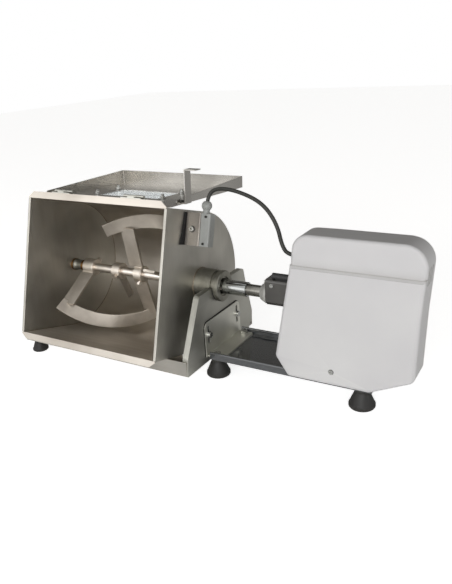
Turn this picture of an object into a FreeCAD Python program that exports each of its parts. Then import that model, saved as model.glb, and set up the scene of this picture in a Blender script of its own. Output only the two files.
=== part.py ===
# Tilting dough mixer: a stainless tub that tips on its own shaft, and a geared motor beside it.
# Millimetres, +Z up, +X along the agitator shaft towards the motor, -Y towards the tub's mouth.
# The pieces are drawn around the shaft axis, at the outer face of the tub's right wall. At the
# end they all move together, so that the origin lies under the motor pan's front left foot.
import FreeCAD, Part
import math
import os

V = FreeCAD.Vector
os.makedirs("parts", exist_ok=True)

# Tub
tub_width = 330.0
tub_radius = 138.0
mouth_depth = 137.0           # shaft axis to the mouth's plane
trough_sheet = 2.0
wall_sheet = 3.0
flange_width = 11.0
lip_width = 2.5

# Overall places
bench_gap = 22.0              # tub's lowest point above the bench
shaft_height = tub_radius + bench_gap
tub_tilt = 16.5               # the mouth's axis above the horizontal, as it rests tipped forward
lid_droop = 4.0               # the open lid's fall towards its far rim
running_gap = 0.06            # radial clearance of a shaft in a bush
loose_gap = 0.4               # clearance of a fixed piece in its hole
face_gap = 0.5                # side clearance between a turning piece and a fixed one
stop_gap = 0.3                # tub's clearance above the rail that it tips forward onto

# Hubs that carry the tub in the uprights
hub_radius = 30.0
hub_bore_radius = 18.0
hub_base = 8.0
groove_depth = 4.0
ring_width = 9.0
liner_thickness = 3.0
liner_width = 6.0

# Stand
upright_gap = 42.0            # tub wall's outer face to the upright's outer face
upright_sheet = 3.0
upright_flange = 12.0
upright_top = 4.0             # top edge above the shaft axis
upright_top_front = -74.0
upright_top_back = 96.0
base_half_depth = 130.0
base_bottom = 2.5 - tub_radius
upright_kink = base_bottom + 35.5     # level where the sloping edges start
rail_leg = 68.0
rail_sheet = 3.0

# Rubber feet
mixer_foot_inset = 18.0
mixer_foot_setback = 14.0
mixer_foot_radius = 16.5
motor_foot_radius = 23.0
foot_bore_radius = 4.2
foot_screw_radius = 4.0

# Link between mixer and motor pan
bracket_sheet = 3.0
bracket_half_width = 67.0
bracket_height = 69.0
bracket_flange = 37.0
slot_width = 6.5
slot_length = 37.0
slot_centre = 55.0
slot_rise = 43.0              # middle of the slots above the pan floor
pan_start = 9.0               # pan's end, out from the bracket's inner face
pan_length = 314.0
pan_half_depth = 66.0
pan_rise = 37.0               # pan floor above the bench
pan_floor_top = pan_rise - shaft_height
slot_level = pan_floor_top + slot_rise
bracket_top = pan_floor_top + bracket_height
pan_sheet = 3.0
pan_rim = 9.0
pan_roll = 2.5                # radius of the rolled edge along the pan's sides
pan_top = pan_floor_top + pan_rim
motor_foot_y = 54.0
motor_foot_inset = 10.0
motor_foot_spacing = 284.0

# Agitator
shaft_radius = 9.0
shaft_left_end = -tub_width - 15.0
shaft_right_end = 72.0
collar_radius = 17.0
blade_left_gap = 40.5         # lower blade's left end inside the left wall
blade_right_gap = 31.0        # upper blade's right end inside the right wall
blade_gap = 12.0              # between a blade and the trough
blade_depth = 28.0
blade_outer_radius = tub_radius - trough_sheet - blade_gap
blade_inner_radius = blade_outer_radius - blade_depth
blade_sheet = 4.0
blade_span = 158.0            # axial length of one blade
blade_turn = 95.5             # degrees that one blade turns about the shaft
lower_blade_start = 207.0
upper_blade_start = 115.0
lower_blade_left = blade_left_gap - tub_width
upper_blade_left = -blade_right_gap - blade_span
collar_starts = (lower_blade_left - 2.5, upper_blade_left - 24.0,
                 lower_blade_left + blade_span - 24.5, -blade_right_gap - 43.0)
collar_widths = (27.0, 20.0, 20.0, 20.0)
arm_width = 33.0              # along the shaft
arm_set_back = 8.0            # third collar's middle to its two arms' middle
arm_sheet = 5.0
finger_width = 17.0

# Drive
sleeve_radius = 14.0
sleeve_left = 36.0
sleeve_right = 104.5
output_radius = 11.0
nose_left = 149.0
nose_front = -19.0
nose_back = 25.0
nose_low = -19.0
nose_high = 32.0
nose_bore_radius = 16.0
housing_left = 222.0
housing_right = 262.0
housing_wall = 4.0
bearing_width = 9.0
gear_module = 1.25
pinion_teeth = 14
wheel_teeth = 42
gear_width = 10.0
pinion_width = 13.0
cluster_angle = 53.0          # direction of the cluster's axis from the output shaft, from +Y
can_radius = 52.0
can_length = 130.0
can_sheet = 4.0
core_bore_radius = 30.0
rotor_radius = 29.4
rotor_shaft_radius = 6.0
bell_length = 14.0

# Motor cover
cover_front = -71.0
cover_sheet = 3.0
cover_shell_depth = 56.0
cover_back = 71.0
cover_step = 5.0              # the upper front lies this far behind the lower one
cover_step_level = 79.0
cover_step_height = 5.0
cover_near = 150.0            # left of the cover, where its cutters start
cover_far = 500.0             # right of the cover
vent_left = 425.0
vent_low = 72.0
vent_height = 28.0

# Lid, drawn open: +Y away from its hinge, +Z inwards
lid_length = 2.0 * tub_radius
lid_rim = 22.0                # rim's height at the far end
lid_rim_near = 8.0            # and at its end by the hinges
lid_sheet = 1.5
lid_side_gap = 1.5
hinge_drop = 16.5             # lid floor's outer face below the hinge axis
hinge_height = 4.5            # hinge axis beyond the flange's edge
hinge_setback = 10.0          # hinge axis behind the mouth's plane
knuckle_radius = 2.8
hinge_pin_radius = 1.2
hinge_length = 46.0
hinge_starts = (57.0 - tub_width, -103.0)
window_width = 144.0
window_depth = 80.0
window_near = 70.0            # hinge axis to the window opening's near edge
window_left = -224.0
strip_width = 21.0
strip_tab = 24.0

# Safety switch on the tub's right wall
bracket_front = 62.0 - mouth_depth
bracket_low = tub_radius - 64.0
bracket_high = tub_radius - 4.0
switch_sheet = 2.0
switch_reach = 33.0
switch_box_width = 19.0
switch_box_depth = 20.0
plunger_x = 17.0
plunger_z = tub_radius - 34.0
plunger_proud = 4.0
plunger_radius = 4.0
gland_x = 39.2
gland_y = bracket_front + 8.5
gland_neck_radius = 6.2
gland_ball_radius = 9.5
cable_seat = 12.0             # cable's end above the switch box, inside the gland
cable_radius = 3.5

# Tilt lock on the left upright
lock_y = -40.0
lock_z = -45.0
lock_pin_radius = 5.0
lock_plate_sheet = 5.0
lock_plate_radius = 74.0
tilt_range = 73.5

origin_shift = V(-(upright_gap + pan_start + motor_foot_inset), motor_foot_y, shaft_height)


def box(x0, x1, y0, y1, z0, z1):
    return Part.makeBox(x1 - x0, y1 - y0, z1 - z0, V(x0, y0, z0))


def rod(x0, x1, radius, y=0.0, z=0.0):
    return Part.makeCylinder(radius, x1 - x0, V(x0, y, z), V(1, 0, 0))


def tube(x0, x1, outer, inner, y=0.0, z=0.0):
    return rod(x0, x1, outer, y, z).cut(rod(x0, x1, inner, y, z))


def post(x, y, z0, z1, radius):
    return Part.makeCylinder(radius, z1 - z0, V(x, y, z0), V(0, 0, 1))


def along_y(x, z, y0, y1, radius):
    return Part.makeCylinder(radius, y1 - y0, V(x, y0, z), V(0, 1, 0))


def hexagon(centre, direction, across_flats, height):
    radius = across_flats / math.sqrt(3.0)
    corners = [V(radius * math.cos(math.radians(60 * k)), radius * math.sin(math.radians(60 * k)), 0)
               for k in range(7)]
    prism = Part.Face(Part.makePolygon(corners)).extrude(V(0, 0, height))
    prism.Placement = FreeCAD.Placement(centre, FreeCAD.Rotation(V(0, 0, 1), direction))
    return prism


def fuse(shapes):
    whole = shapes[0]
    for shape in shapes[1:]:
        whole = whole.fuse(shape)
    return whole.removeSplitter()


def cut(shape, tools):
    for tool in tools:
        shape = shape.cut(tool)
    return shape


def turned(shape, degrees, y=0.0, z=0.0):
    copy = shape.copy()
    copy.rotate(V(0, y, z), V(1, 0, 0), degrees)
    return copy


def tipped(shape):
    return turned(shape, -tub_tilt)


def tipped_point(x, y, z):
    a = math.radians(tub_tilt)
    return V(x, y * math.cos(a) + z * math.sin(a), z * math.cos(a) - y * math.sin(a))


def rounded_wire(points, radii, place):
    # A closed outline whose corners are arcs; a radius of 0 leaves the corner sharp.
    edges = []
    starts = []
    ends = []
    mids = []
    count = len(points)
    for k in range(count):
        corner = V(points[k][0], points[k][1], 0)
        before = V(points[k - 1][0], points[k - 1][1], 0) - corner
        after = V(points[(k + 1) % count][0], points[(k + 1) % count][1], 0) - corner
        before.normalize()
        after.normalize()
        half = before.getAngle(after) / 2.0
        radius = radii[k]
        if radius <= 0:
            starts.append(corner)
            ends.append(corner)
            mids.append(None)
            continue
        reach = radius / math.tan(half)
        starts.append(corner + before * reach)
        ends.append(corner + after * reach)
        bisector = before + after
        bisector.normalize()
        mids.append(corner + bisector * (radius / math.sin(half) - radius))
    for k in range(count):
        if mids[k] is not None:
            edges.append(Part.Arc(place(starts[k]), place(mids[k]), place(ends[k])).toShape())
        leave = place(ends[k])
        arrive = place(starts[(k + 1) % count])
        if leave.distanceToPoint(arrive) > 1e-6:
            edges.append(Part.makeLine(leave, arrive))
    return Part.Wire(edges)


def plate_yz(points, radii, x0, x1):
    wire = rounded_wire(points, radii, lambda p: V(x0, p.x, p.y))
    return Part.Face(wire).extrude(V(x1 - x0, 0, 0))


def plate_xz(points, radii, y0, y1):
    wire = rounded_wire(points, radii, lambda p: V(p.x, y0, p.y))
    return Part.Face(wire).extrude(V(0, y1 - y0, 0))


def plate_xy(points, radii, z0, z1):
    wire = rounded_wire(points, radii, lambda p: V(p.x, p.y, z0))
    return Part.Face(wire).extrude(V(0, 0, z1 - z0))


def inset(points, distance):
    # The outline moved inwards by one distance on every side; the points run anticlockwise.
    moved = []
    count = len(points)
    for k in range(count):
        a = V(points[k - 1][0], points[k - 1][1], 0)
        b = V(points[k][0], points[k][1], 0)
        c = V(points[(k + 1) % count][0], points[(k + 1) % count][1], 0)
        first = b - a
        second = c - b
        first.normalize()
        second.normalize()
        normal_a = V(-first.y, first.x, 0)
        normal_b = V(-second.y, second.x, 0)
        bisector = normal_a + normal_b
        bisector.normalize()
        step = distance / bisector.dot(normal_a)
        corner = b + bisector * step
        moved.append((corner.x, corner.y))
    return moved


# Tub: modelled with its mouth facing -Y, then tipped about the shaft axis

wall_left = -tub_width
tilt = math.radians(tub_tilt)


def trough_outline(radius):
    top = [V(0, -mouth_depth, radius), V(0, 0, radius)]
    low = [V(0, 0, -radius), V(0, -mouth_depth, -radius)]
    edges = [Part.makeLine(top[0], top[1]),
             Part.Arc(top[1], V(0, radius, 0), low[0]).toShape(),
             Part.makeLine(low[0], low[1]),
             Part.makeLine(low[1], top[0])]
    return Part.Face(Part.Wire(edges))


def mouth_flange(side):
    near = side * tub_radius
    far = side * (tub_radius + flange_width)
    inner = side * (tub_radius - trough_sheet)
    points = [(wall_left - lip_width, near), (wall_left + flange_width, far),
              (-flange_width, far), (lip_width, near), (0, inner), (wall_left, inner)]
    strip = plate_xz(points, [0] * 6, -mouth_depth - trough_sheet, -mouth_depth)
    return strip


def make_tub_trough():
    outer = trough_outline(tub_radius).extrude(V(tub_width - 2 * wall_sheet, 0, 0))
    inner = trough_outline(tub_radius - trough_sheet).extrude(V(tub_width - 2 * wall_sheet, 0, 0))
    shell = outer.cut(inner)
    shell.translate(V(wall_left + wall_sheet, 0, 0))
    return tipped(fuse([shell, mouth_flange(1), mouth_flange(-1)]))


def make_tub_wall(outer_x, inner_x, hole_radius):
    low_x = min(outer_x, inner_x)
    wall = trough_outline(tub_radius).extrude(V(abs(inner_x - outer_x), 0, 0))
    wall.translate(V(low_x, 0, 0))
    side = 1 if outer_x > inner_x else -1
    lip_x = sorted((inner_x, outer_x + side * lip_width))
    lip = box(lip_x[0], lip_x[1], -mouth_depth - trough_sheet, -mouth_depth,
              -(tub_radius - trough_sheet), tub_radius - trough_sheet)
    wall = fuse([wall, lip])
    return tipped(wall.cut(rod(low_x - 1, low_x + wall_sheet + 1, hole_radius)))


bush_radius = 12.0
bush_flange_radius = 13.0
bush_flange = 3.0
washer_width = 9.0
saddle_left = upright_gap - upright_sheet / 2.0 - liner_width / 2.0
groove_left = saddle_left - face_gap
groove_right = saddle_left + liner_width + face_gap
hub_length = groove_right + ring_width


def hub_profile(length, bore_start):
    body = rod(0, length, hub_radius)
    groove = tube(groove_left, groove_right, hub_radius + 1, hub_radius - groove_depth)
    hub = body.cut(groove)
    hub = hub.cut(rod(bore_start, length, hub_bore_radius))
    return hub.cut(rod(0, length, bush_radius))


def make_right_hub():
    hub = hub_profile(hub_length, hub_base)
    rim = [edge for edge in hub.Edges if abs(edge.CenterOfMass.x - hub_length) < 0.01]
    return hub.makeChamfer(1.2, rim)


def make_left_hub():
    hub = hub_profile(hub_length, hub_length - ring_width)
    hub = hub.fuse(rod(hub_length - ring_width, hub_length, hub_radius - groove_depth)).removeSplitter()
    hub = hub.cut(rod(0, hub_length - ring_width, bush_radius))
    hub = hub.mirror(V(0, 0, 0), V(1, 0, 0))
    hub.translate(V(wall_left, 0, 0))
    return hub


def make_bushes():
    sleeve = tube(-wall_sheet - bush_flange, hub_base, bush_radius, shaft_radius + running_gap)
    flange = tube(-wall_sheet - bush_flange, -wall_sheet, bush_flange_radius, shaft_radius + running_gap)
    right = fuse([sleeve, flange])
    left = right.mirror(V(0, 0, 0), V(1, 0, 0))
    left.translate(V(wall_left, 0, 0))
    washer_right = collar_starts[0] - face_gap
    washer = tube(washer_right - washer_width, washer_right, bush_radius, shaft_radius + running_gap)
    return Part.makeCompound([right, left, washer])


seal_bolt_circle = 13.6


def make_hub_seal():
    disc = tube(hub_base, hub_base + 5, hub_bore_radius, shaft_radius + running_gap)
    heads = []
    for k in range(3):
        angle = math.radians(90 + 120 * k)
        centre = V(hub_base + 5, seal_bolt_circle * math.cos(angle), seal_bolt_circle * math.sin(angle))
        heads.append(hexagon(centre, V(1, 0, 0), 6.0, 3.0))
    return Part.makeCompound([disc] + heads)


def in_lock_frame(y, z, degrees):
    a = math.radians(degrees)
    return y * math.cos(a) - z * math.sin(a), y * math.sin(a) + z * math.cos(a)


def make_lock_plate():
    outer_x = wall_left - lock_plate_sheet
    plate = tube(outer_x, wall_left, lock_plate_radius, hub_radius)
    for degrees in (0.0, tilt_range):
        y, z = in_lock_frame(lock_y, lock_z, degrees)
        plate = plate.cut(rod(outer_x, wall_left, lock_pin_radius + loose_gap, y, z))
    return plate


# Stand

def upright_points(inward):
    return [(-base_half_depth + inward, base_bottom + inward),
            (base_half_depth - 22, base_bottom + inward),
            (base_half_depth - 6 - inward, base_bottom + 16),
            (base_half_depth - 4 - inward, upright_kink),
            (upright_top_back + 8 - inward, -29),
            (upright_top_back - inward, upright_top - inward),
            (upright_top_front + inward, upright_top - inward),
            (-base_half_depth + 4 + inward, upright_kink)]


def make_upright(outer_x, side, holes):
    radii = [0, 6, 6, 20, 30, 8, 10, 20]
    inner_radii = [0, 3, 3, 17, 27, 5, 7, 17]
    sheet_x = sorted((outer_x, outer_x - side * upright_sheet))
    deep_x = sorted((outer_x, outer_x - side * upright_flange))
    sheet = plate_yz(upright_points(0), radii, sheet_x[0], sheet_x[1])
    deep = plate_yz(upright_points(0), radii, deep_x[0], deep_x[1])
    hollow = plate_yz(upright_points(upright_sheet), inner_radii, deep_x[0], deep_x[1])
    rim = deep.cut(hollow)
    rim = rim.cut(box(deep_x[0], deep_x[1], -base_half_depth, base_half_depth,
                      base_bottom, base_bottom + rail_height))
    saddle = hub_radius - groove_depth + face_gap / 2.0 + liner_thickness
    clear = hub_radius + 4
    upright = fuse([sheet, rim])
    upright = upright.cut(rod(sheet_x[0], sheet_x[1], saddle))
    upright = upright.cut(box(sheet_x[0], sheet_x[1], -saddle, saddle, 0, upright_top + 1))
    rim_x = sorted((outer_x - side * upright_sheet, outer_x - side * upright_flange))
    upright = upright.cut(rod(rim_x[0], rim_x[1], clear))
    upright = upright.cut(box(rim_x[0], rim_x[1], -clear, clear, 0, upright_top + 1))
    return cut(upright, [rod(sheet_x[0], sheet_x[1], radius, y, z) for y, z, radius in holes])


def make_saddle_liners():
    inner = hub_radius - groove_depth + face_gap / 2.0
    right = tube(saddle_left, saddle_left + liner_width, inner + liner_thickness, inner)
    right = right.cut(box(saddle_left, saddle_left + liner_width, -60, 60, 0, 60))
    left = right.mirror(V(0, 0, 0), V(1, 0, 0))
    left.translate(V(wall_left, 0, 0))
    return Part.makeCompound([right, left])


stop_y = rail_sheet - base_half_depth
stop_along = (stop_y + tub_radius * math.sin(tilt)) / math.cos(tilt)
stop_level = -tub_radius * math.cos(tilt) - stop_along * math.sin(tilt) - stop_gap
rail_height = stop_level - base_bottom
rail_left = wall_left - upright_gap + upright_sheet
rail_right = upright_gap - upright_sheet


def make_rail(side):
    # side is -1 for the front rail and +1 for the back one
    skirt_y = sorted((side * base_half_depth, side * (base_half_depth - rail_sheet)))
    leg_y = sorted((side * base_half_depth, side * (base_half_depth - rail_leg)))
    skirt = box(rail_left, rail_right, skirt_y[0], skirt_y[1], base_bottom, base_bottom + rail_height)
    leg = box(rail_left, rail_right, leg_y[0], leg_y[1], base_bottom, base_bottom + rail_sheet)
    rail = fuse([skirt, leg])
    return rail.cut(post(mixer_foot_x, side * mixer_foot_y, base_bottom - 1, base_bottom + rail_sheet + 1,
                         foot_bore_radius))


mixer_foot_y = base_half_depth - mixer_foot_setback
mixer_foot_x = wall_left - upright_gap + mixer_foot_inset + upright_sheet + 1


def rubber_foot(x, y, top, radius):
    # A cone with a short neck and a straight rim; its underside stands on the bench.
    height = top + shaft_height
    neck = radius * 0.54
    steps = [(neck, 0.0), (neck, 0.14), (neck + 1.5, 0.22), (radius - 1.0, 0.76), (radius, 0.8),
             (radius, 0.94), (radius - 1.5, 1.0)]
    points = [V(0, 0, top)] + [V(r, 0, top - share * height) for r, share in steps]
    points.append(V(0, 0, -shaft_height))
    wire = Part.makePolygon(points + [points[0]])
    foot = Part.Face(wire).revolve(V(0, 0, 0), V(0, 0, 1), 360)
    if foot.Volume < 0:
        foot.reverse()
    foot.translate(V(x, y, 0))
    bore = post(x, y, top - height * 0.6, top, foot_screw_radius)
    return foot.cut(bore)


def make_mixer_feet():
    # The stand's right end has no feet: it hangs on the motor unit through the link bracket.
    return [rubber_foot(mixer_foot_x, side * mixer_foot_y, base_bottom, mixer_foot_radius)
            for side in (-1, 1)]


def foot_screw(x, y, seat, foot_top):
    shank = post(x, y, foot_top - (foot_top + shaft_height) * 0.6, seat, foot_screw_radius)
    head = hexagon(V(x, y, seat), V(0, 0, 1), 13.0, 5.3)
    return fuse([shank, head])


def make_foot_screws():
    screws = []
    for side in (-1, 1):
        screws.append(foot_screw(mixer_foot_x, side * mixer_foot_y, base_bottom + rail_sheet, base_bottom))
    for x, seat in zip(motor_foot_xs, (pan_floor_top + bracket_sheet, pan_floor_top)):
        for side in (-1, 1):
            screws.append(foot_screw(x, side * motor_foot_y, seat, pan_floor_top - pan_sheet))
    return Part.makeCompound(screws)


# Link bracket and motor pan

pan_left = upright_gap + pan_start
pan_right = pan_left + pan_length
motor_foot_xs = (pan_left + motor_foot_inset, pan_left + motor_foot_inset + motor_foot_spacing)
bracket_bolt_radius = slot_width / 2.0 - 0.25
bracket_holes = [(side * slot_centre, slot_level, bracket_bolt_radius + loose_gap) for side in (-1, 1)]
lock_holes = [(lock_y, lock_z, lock_pin_radius + loose_gap)]


def slot_cutter(y):
    straight = slot_length - slot_width
    z0 = slot_level - straight / 2.0
    z1 = slot_level + straight / 2.0
    x0 = upright_gap - 1
    x1 = upright_gap + bracket_sheet + 1
    body = box(x0, x1, y - slot_width / 2.0, y + slot_width / 2.0, z0, z1)
    return fuse([body, rod(x0, x1, slot_width / 2.0, y, z0), rod(x0, x1, slot_width / 2.0, y, z1)])


def make_link_bracket():
    half = bracket_half_width
    points = [(-half, pan_floor_top), (half, pan_floor_top), (half, bracket_top), (-half, bracket_top)]
    face = plate_yz(points, [0, 0, 12, 12], upright_gap, upright_gap + bracket_sheet)
    face = cut(face, [slot_cutter(-slot_centre), slot_cutter(slot_centre)])
    narrow = half - 5
    x1 = upright_gap + bracket_flange
    outline = [(upright_gap, -narrow), (x1, -narrow), (x1, narrow), (upright_gap, narrow)]
    flange = plate_xy(outline, [0, 8, 8, 0], pan_floor_top, pan_floor_top + bracket_sheet)
    bracket = fuse([face, flange])
    hole_top = pan_floor_top + bracket_sheet + 1
    holes = [post(motor_foot_xs[0], side * motor_foot_y, pan_floor_top - 1, hole_top,
                  foot_bore_radius) for side in (-1, 1)]
    return cut(bracket, holes)


def make_bracket_bolts():
    bolts = []
    face_x = upright_gap + bracket_sheet
    for side in (-1, 1):
        y = side * slot_centre
        washer = rod(face_x, face_x + 1.5, 7.0, y, slot_level)
        shank = rod(upright_gap - upright_sheet - 6, face_x, bracket_bolt_radius, y, slot_level)
        head = rod(face_x + 1.5, face_x + 5.5, 5.2, y, slot_level)
        nut = hexagon(V(upright_gap - upright_sheet, y, slot_level), V(-1, 0, 0), 10.0, 5.0)
        bolts.append(fuse([washer, shank, head, nut]))
    return Part.makeCompound(bolts)


def make_motor_pan():
    floor = box(pan_left, pan_right, -pan_half_depth, pan_half_depth,
                pan_floor_top - pan_sheet, pan_floor_top)
    shapes = [floor]
    for side in (-1, 1):
        y = sorted((side * pan_half_depth, side * (pan_half_depth - pan_sheet)))
        shapes.append(box(pan_left, pan_right, y[0], y[1], pan_floor_top, pan_top))
        shapes.append(rod(pan_left, pan_right, pan_roll, side * (pan_half_depth - pan_roll), pan_top))
    end = pan_right - pan_sheet
    shapes.append(box(end, pan_right, -pan_half_depth, pan_half_depth, pan_floor_top, pan_top))
    pan = fuse(shapes)
    below = pan_floor_top - pan_sheet - 1
    holes = [post(x, side * motor_foot_y, below, pan_floor_top + 1, foot_bore_radius)
             for x in motor_foot_xs for side in (-1, 1)]
    return cut(pan, holes)


def make_motor_feet():
    feet = []
    for x in motor_foot_xs:
        for side in (-1, 1):
            feet.append(rubber_foot(x, side * motor_foot_y, pan_floor_top - pan_sheet, motor_foot_radius))
    return feet


# Motor cover

cover_bottom = pan_floor_top - 1.0


def cover_points(taper):
    # Front view of the cover, anticlockwise from the bottom left corner. taper is 0 for the front
    # shell and 1 at the back, where the top and the right side have come in.
    right = 24.0 * taper
    top = 25.0 * taper
    return [(214.0, cover_bottom), (pan_right - 4.0 - right, cover_bottom),
            (434.0 - right, cover_bottom + 34.0), (438.0 - right, 20.0), (442.5 - right, 84.0 - top),
            (446.0 - right, 137.0 - top), (225.0, 137.0 - top), (220.0, 78.0 - top * 0.5), (207.0, 8.0),
            (190.0, -88.0)]


cover_radii = [8, 14, 16, 0, 0, 36, 30, 0, 0, 12]


def cover_solid(wall):
    radii = [max(r - wall, 1.0) if r > 0 else 0 for r in cover_radii]
    front_y = cover_front + wall
    middle_y = cover_front + cover_shell_depth
    back_y = cover_back - wall
    front = inset(cover_points(0), wall)
    back = inset(cover_points(1), wall)
    lower = plate_xz(front, radii, front_y, middle_y)
    upper = plate_xz(front, radii, front_y + cover_step, middle_y)
    near = rounded_wire(front, radii, lambda p: V(p.x, middle_y, p.y))
    far = rounded_wire(back, radii, lambda p: V(p.x, back_y, p.y))
    rear = Part.makeLoft([near, far], True, True)
    return lower, upper, rear


def below_step(wall):
    # The region that the lower front fills: its top runs back in an S to the upper front.
    front_y = cover_front + wall
    top = cover_step_level + cover_step_height - wall
    points = [(front_y - 2, cover_bottom - 10), (cover_front + cover_shell_depth, cover_bottom - 10),
              (cover_front + cover_shell_depth, top), (front_y + cover_step, top),
              (front_y, top - cover_step_height), (front_y - 2, top - cover_step_height)]
    return plate_yz(points, [0, 0, 0, 5, 5, 0], cover_near, cover_far)


def soft_front(shell, front_y):
    edges = [edge for edge in shell.Edges if abs(edge.CenterOfMass.y - front_y) < 0.01]
    return shell.makeFillet(6.0, edges)


def make_motor_cover():
    lower, upper, rear = cover_solid(0.0)
    lower = soft_front(lower, cover_front).common(below_step(0.0))
    upper = soft_front(upper, cover_front + cover_step)
    outer = fuse([rear, upper, lower])
    inner_lower, inner_upper, inner_rear = cover_solid(cover_sheet)
    cover = cut(outer, [inner_lower.common(below_step(cover_sheet)), inner_upper, inner_rear])
    open_bottom = box(cover_near, cover_far, cover_front + cover_sheet, cover_back - cover_sheet,
                      cover_bottom - 1, cover_bottom + cover_sheet + 0.5)
    pan_half = pan_half_depth + 1.5
    pan_notch = box(cover_near, pan_right + 3, -pan_half, pan_half, cover_bottom - 1, pan_top + 3)
    nose_hole = box(cover_near, housing_left - 1, nose_front - 3, nose_back + 3, nose_low - 3,
                    nose_high + 4)
    cover = cut(cover, [open_bottom, pan_notch, nose_hole])
    slots = []
    for k in range(3):
        y = cover_front + 16 + 10 * k
        slots.append(box(vent_left, cover_far, y, y + 4, vent_low, vent_low + vent_height))
    slots.append(rod(cover_near, cable_entry.x + 10, cable_hole_radius, cable_entry.y, cable_entry.z))
    slots.append(rocker_cutter())
    slots.append(along_y(inlet_x, inlet_z, cover_back - 10, cover_back + 5, inlet_radius))
    slots.append(along_y(cover_screw_x, cover_screw_z, cover_front - 1, cover_back + 1, 2.6))
    return cut(cover, slots)


cover_screw_x = 295.0
cover_screw_z = pan_floor_top + 25.0
tab_half_width = 9.0
tab_sheet = 2.0


def front_and_back(shape):
    return [shape, shape.mirror(V(0, 0, 0), V(0, 1, 0))]


def make_cover_tabs():
    x0 = cover_screw_x - tab_half_width
    x1 = cover_screw_x + tab_half_width
    inner_y = cover_front + cover_sheet
    shelf = pan_top + 3
    leg_y = -pan_half_depth + pan_sheet + 14
    face = box(x0, x1, inner_y, inner_y + tab_sheet, shelf, cover_screw_z + tab_half_width)
    foot = box(x0, x1, inner_y, leg_y, shelf, shelf + tab_sheet)
    leg = box(x0, x1, leg_y - tab_sheet, leg_y, pan_floor_top, shelf)
    tab = fuse([face, foot, leg])
    return front_and_back(tab.cut(along_y(cover_screw_x, cover_screw_z, cover_front, inner_y + 5, 2.2)))


def make_cover_screws():
    x = cover_screw_x
    shank = along_y(x, cover_screw_z, cover_front, cover_front + 12, 2.2)
    head = along_y(x, cover_screw_z, cover_front - 1.8, cover_front, 4.2)
    cross = fuse([box(x - 2.6, x + 2.6, cover_front - 2, cover_front - 0.9,
                      cover_screw_z - 0.5, cover_screw_z + 0.5),
                  box(x - 0.5, x + 0.5, cover_front - 2, cover_front - 0.9,
                      cover_screw_z - 2.6, cover_screw_z + 2.6)])
    return front_and_back(fuse([shank, head]).cut(cross))


# Power switch and mains inlet on the cover's back

rocker_x = 300.0
rocker_z = 60.0
rocker_half_width = 11.0
rocker_half_height = 15.0
inlet_x = 370.0
inlet_z = -85.0
inlet_radius = 8.0


def rocker_cutter():
    return box(rocker_x - rocker_half_width, rocker_x + rocker_half_width, cover_back - 10, cover_back + 5,
               rocker_z - rocker_half_height, rocker_z + rocker_half_height)


def make_power_switch_frame():
    w = rocker_half_width
    h = rocker_half_height
    plate = box(rocker_x - w - 2, rocker_x + w + 2, cover_back, cover_back + 2,
                rocker_z - h - 2, rocker_z + h + 2)
    body = box(rocker_x - w, rocker_x + w, cover_back - 22, cover_back, rocker_z - h, rocker_z + h)
    hollow = box(rocker_x - w + 2, rocker_x + w - 2, cover_back - 15, cover_back + 3,
                 rocker_z - h + 2, rocker_z + h - 2)
    return fuse([plate, body]).cut(hollow)


def make_power_rocker():
    w = rocker_half_width - 2.5
    h = rocker_half_height - 3.5
    profile = [(cover_back - 7, rocker_z - h), (cover_back + 2.5, rocker_z - h),
               (cover_back + 2.2, rocker_z),
               (cover_back + 4.5, rocker_z + h), (cover_back - 5, rocker_z + h)]
    cap = plate_yz(profile, [1.5, 1.5, 0, 1.5, 1.5], rocker_x - w, rocker_x + w)
    axle = rod(rocker_x - rocker_half_width + 2, rocker_x + rocker_half_width - 2, 1.4,
               cover_back - 2, rocker_z)
    return fuse([cap, axle])


def make_mains_inlet():
    barrel = along_y(inlet_x, inlet_z, cover_back - 12, cover_back + 16, inlet_radius)
    nut = hexagon(V(inlet_x, cover_back, inlet_z), V(0, 1, 0), 20.0, 5.0)
    lock = hexagon(V(inlet_x, cover_back - cover_sheet, inlet_z), V(0, -1, 0), 20.0, 4.0)
    gland = fuse([barrel, nut, lock])
    return gland.cut(along_y(inlet_x, inlet_z, cover_back - 13, cover_back + 17, 4.0))


# Safety switch cable: a free cable from the switch gland to the cover's left side

cable_points = (
    tipped_point(gland_x, gland_y, bracket_high + cable_seat),
    tipped_point(gland_x, gland_y, bracket_high + cable_seat + 22.0),
    V(57.0, -12.5, 192.5),
    V(103.0, -22.0, 192.0),
    V(158.0, -34.0, 177.0),
    V(186.0, -38.0, 143.0),
    V(193.5, -36.5, 105.0),
    V(208.0, -43.3, 92.7),
    V(228.5, -43.3, 92.7),
)
cable_entry = cable_points[-1]
cable_hole_radius = 6.0


def cable_path(points):
    # Straight runs joined by arcs that are tangent to them.
    edges = []
    radii = []
    place = points[0]
    for k in range(1, len(points) - 1):
        before = points[k - 1] - points[k]
        after = points[k + 1] - points[k]
        shorter = min(before.Length, after.Length)
        before.normalize()
        after.normalize()
        half_turn = (math.pi - before.getAngle(after)) / 2.0
        reach = 0.45 * shorter
        radius = reach / math.tan(half_turn)
        radii.append(radius)
        start = points[k] + before * reach
        end = points[k] + after * reach
        bisector = before + after
        bisector.normalize()
        middle = points[k] + bisector * (radius / math.cos(half_turn) - radius)
        edges.append(Part.makeLine(place, start))
        edges.append(Part.Arc(start, middle, end).toShape())
        place = end
    edges.append(Part.makeLine(place, points[-1]))
    return Part.Wire(edges), radii


def make_switch_cable():
    path, radii = cable_path(cable_points)
    first = cable_points[1] - cable_points[0]
    ring = Part.Wire(Part.makeCircle(cable_radius, cable_points[0], first))
    tube_shape = path.makePipeShell([ring], True, True)
    print("cable length", round(path.Length, 1), "mm, bend radii", [round(r, 1) for r in radii])
    print("cable volume over section times length",
          round(tube_shape.Volume / (math.pi * cable_radius ** 2 * path.Length), 4))
    return tube_shape


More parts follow.
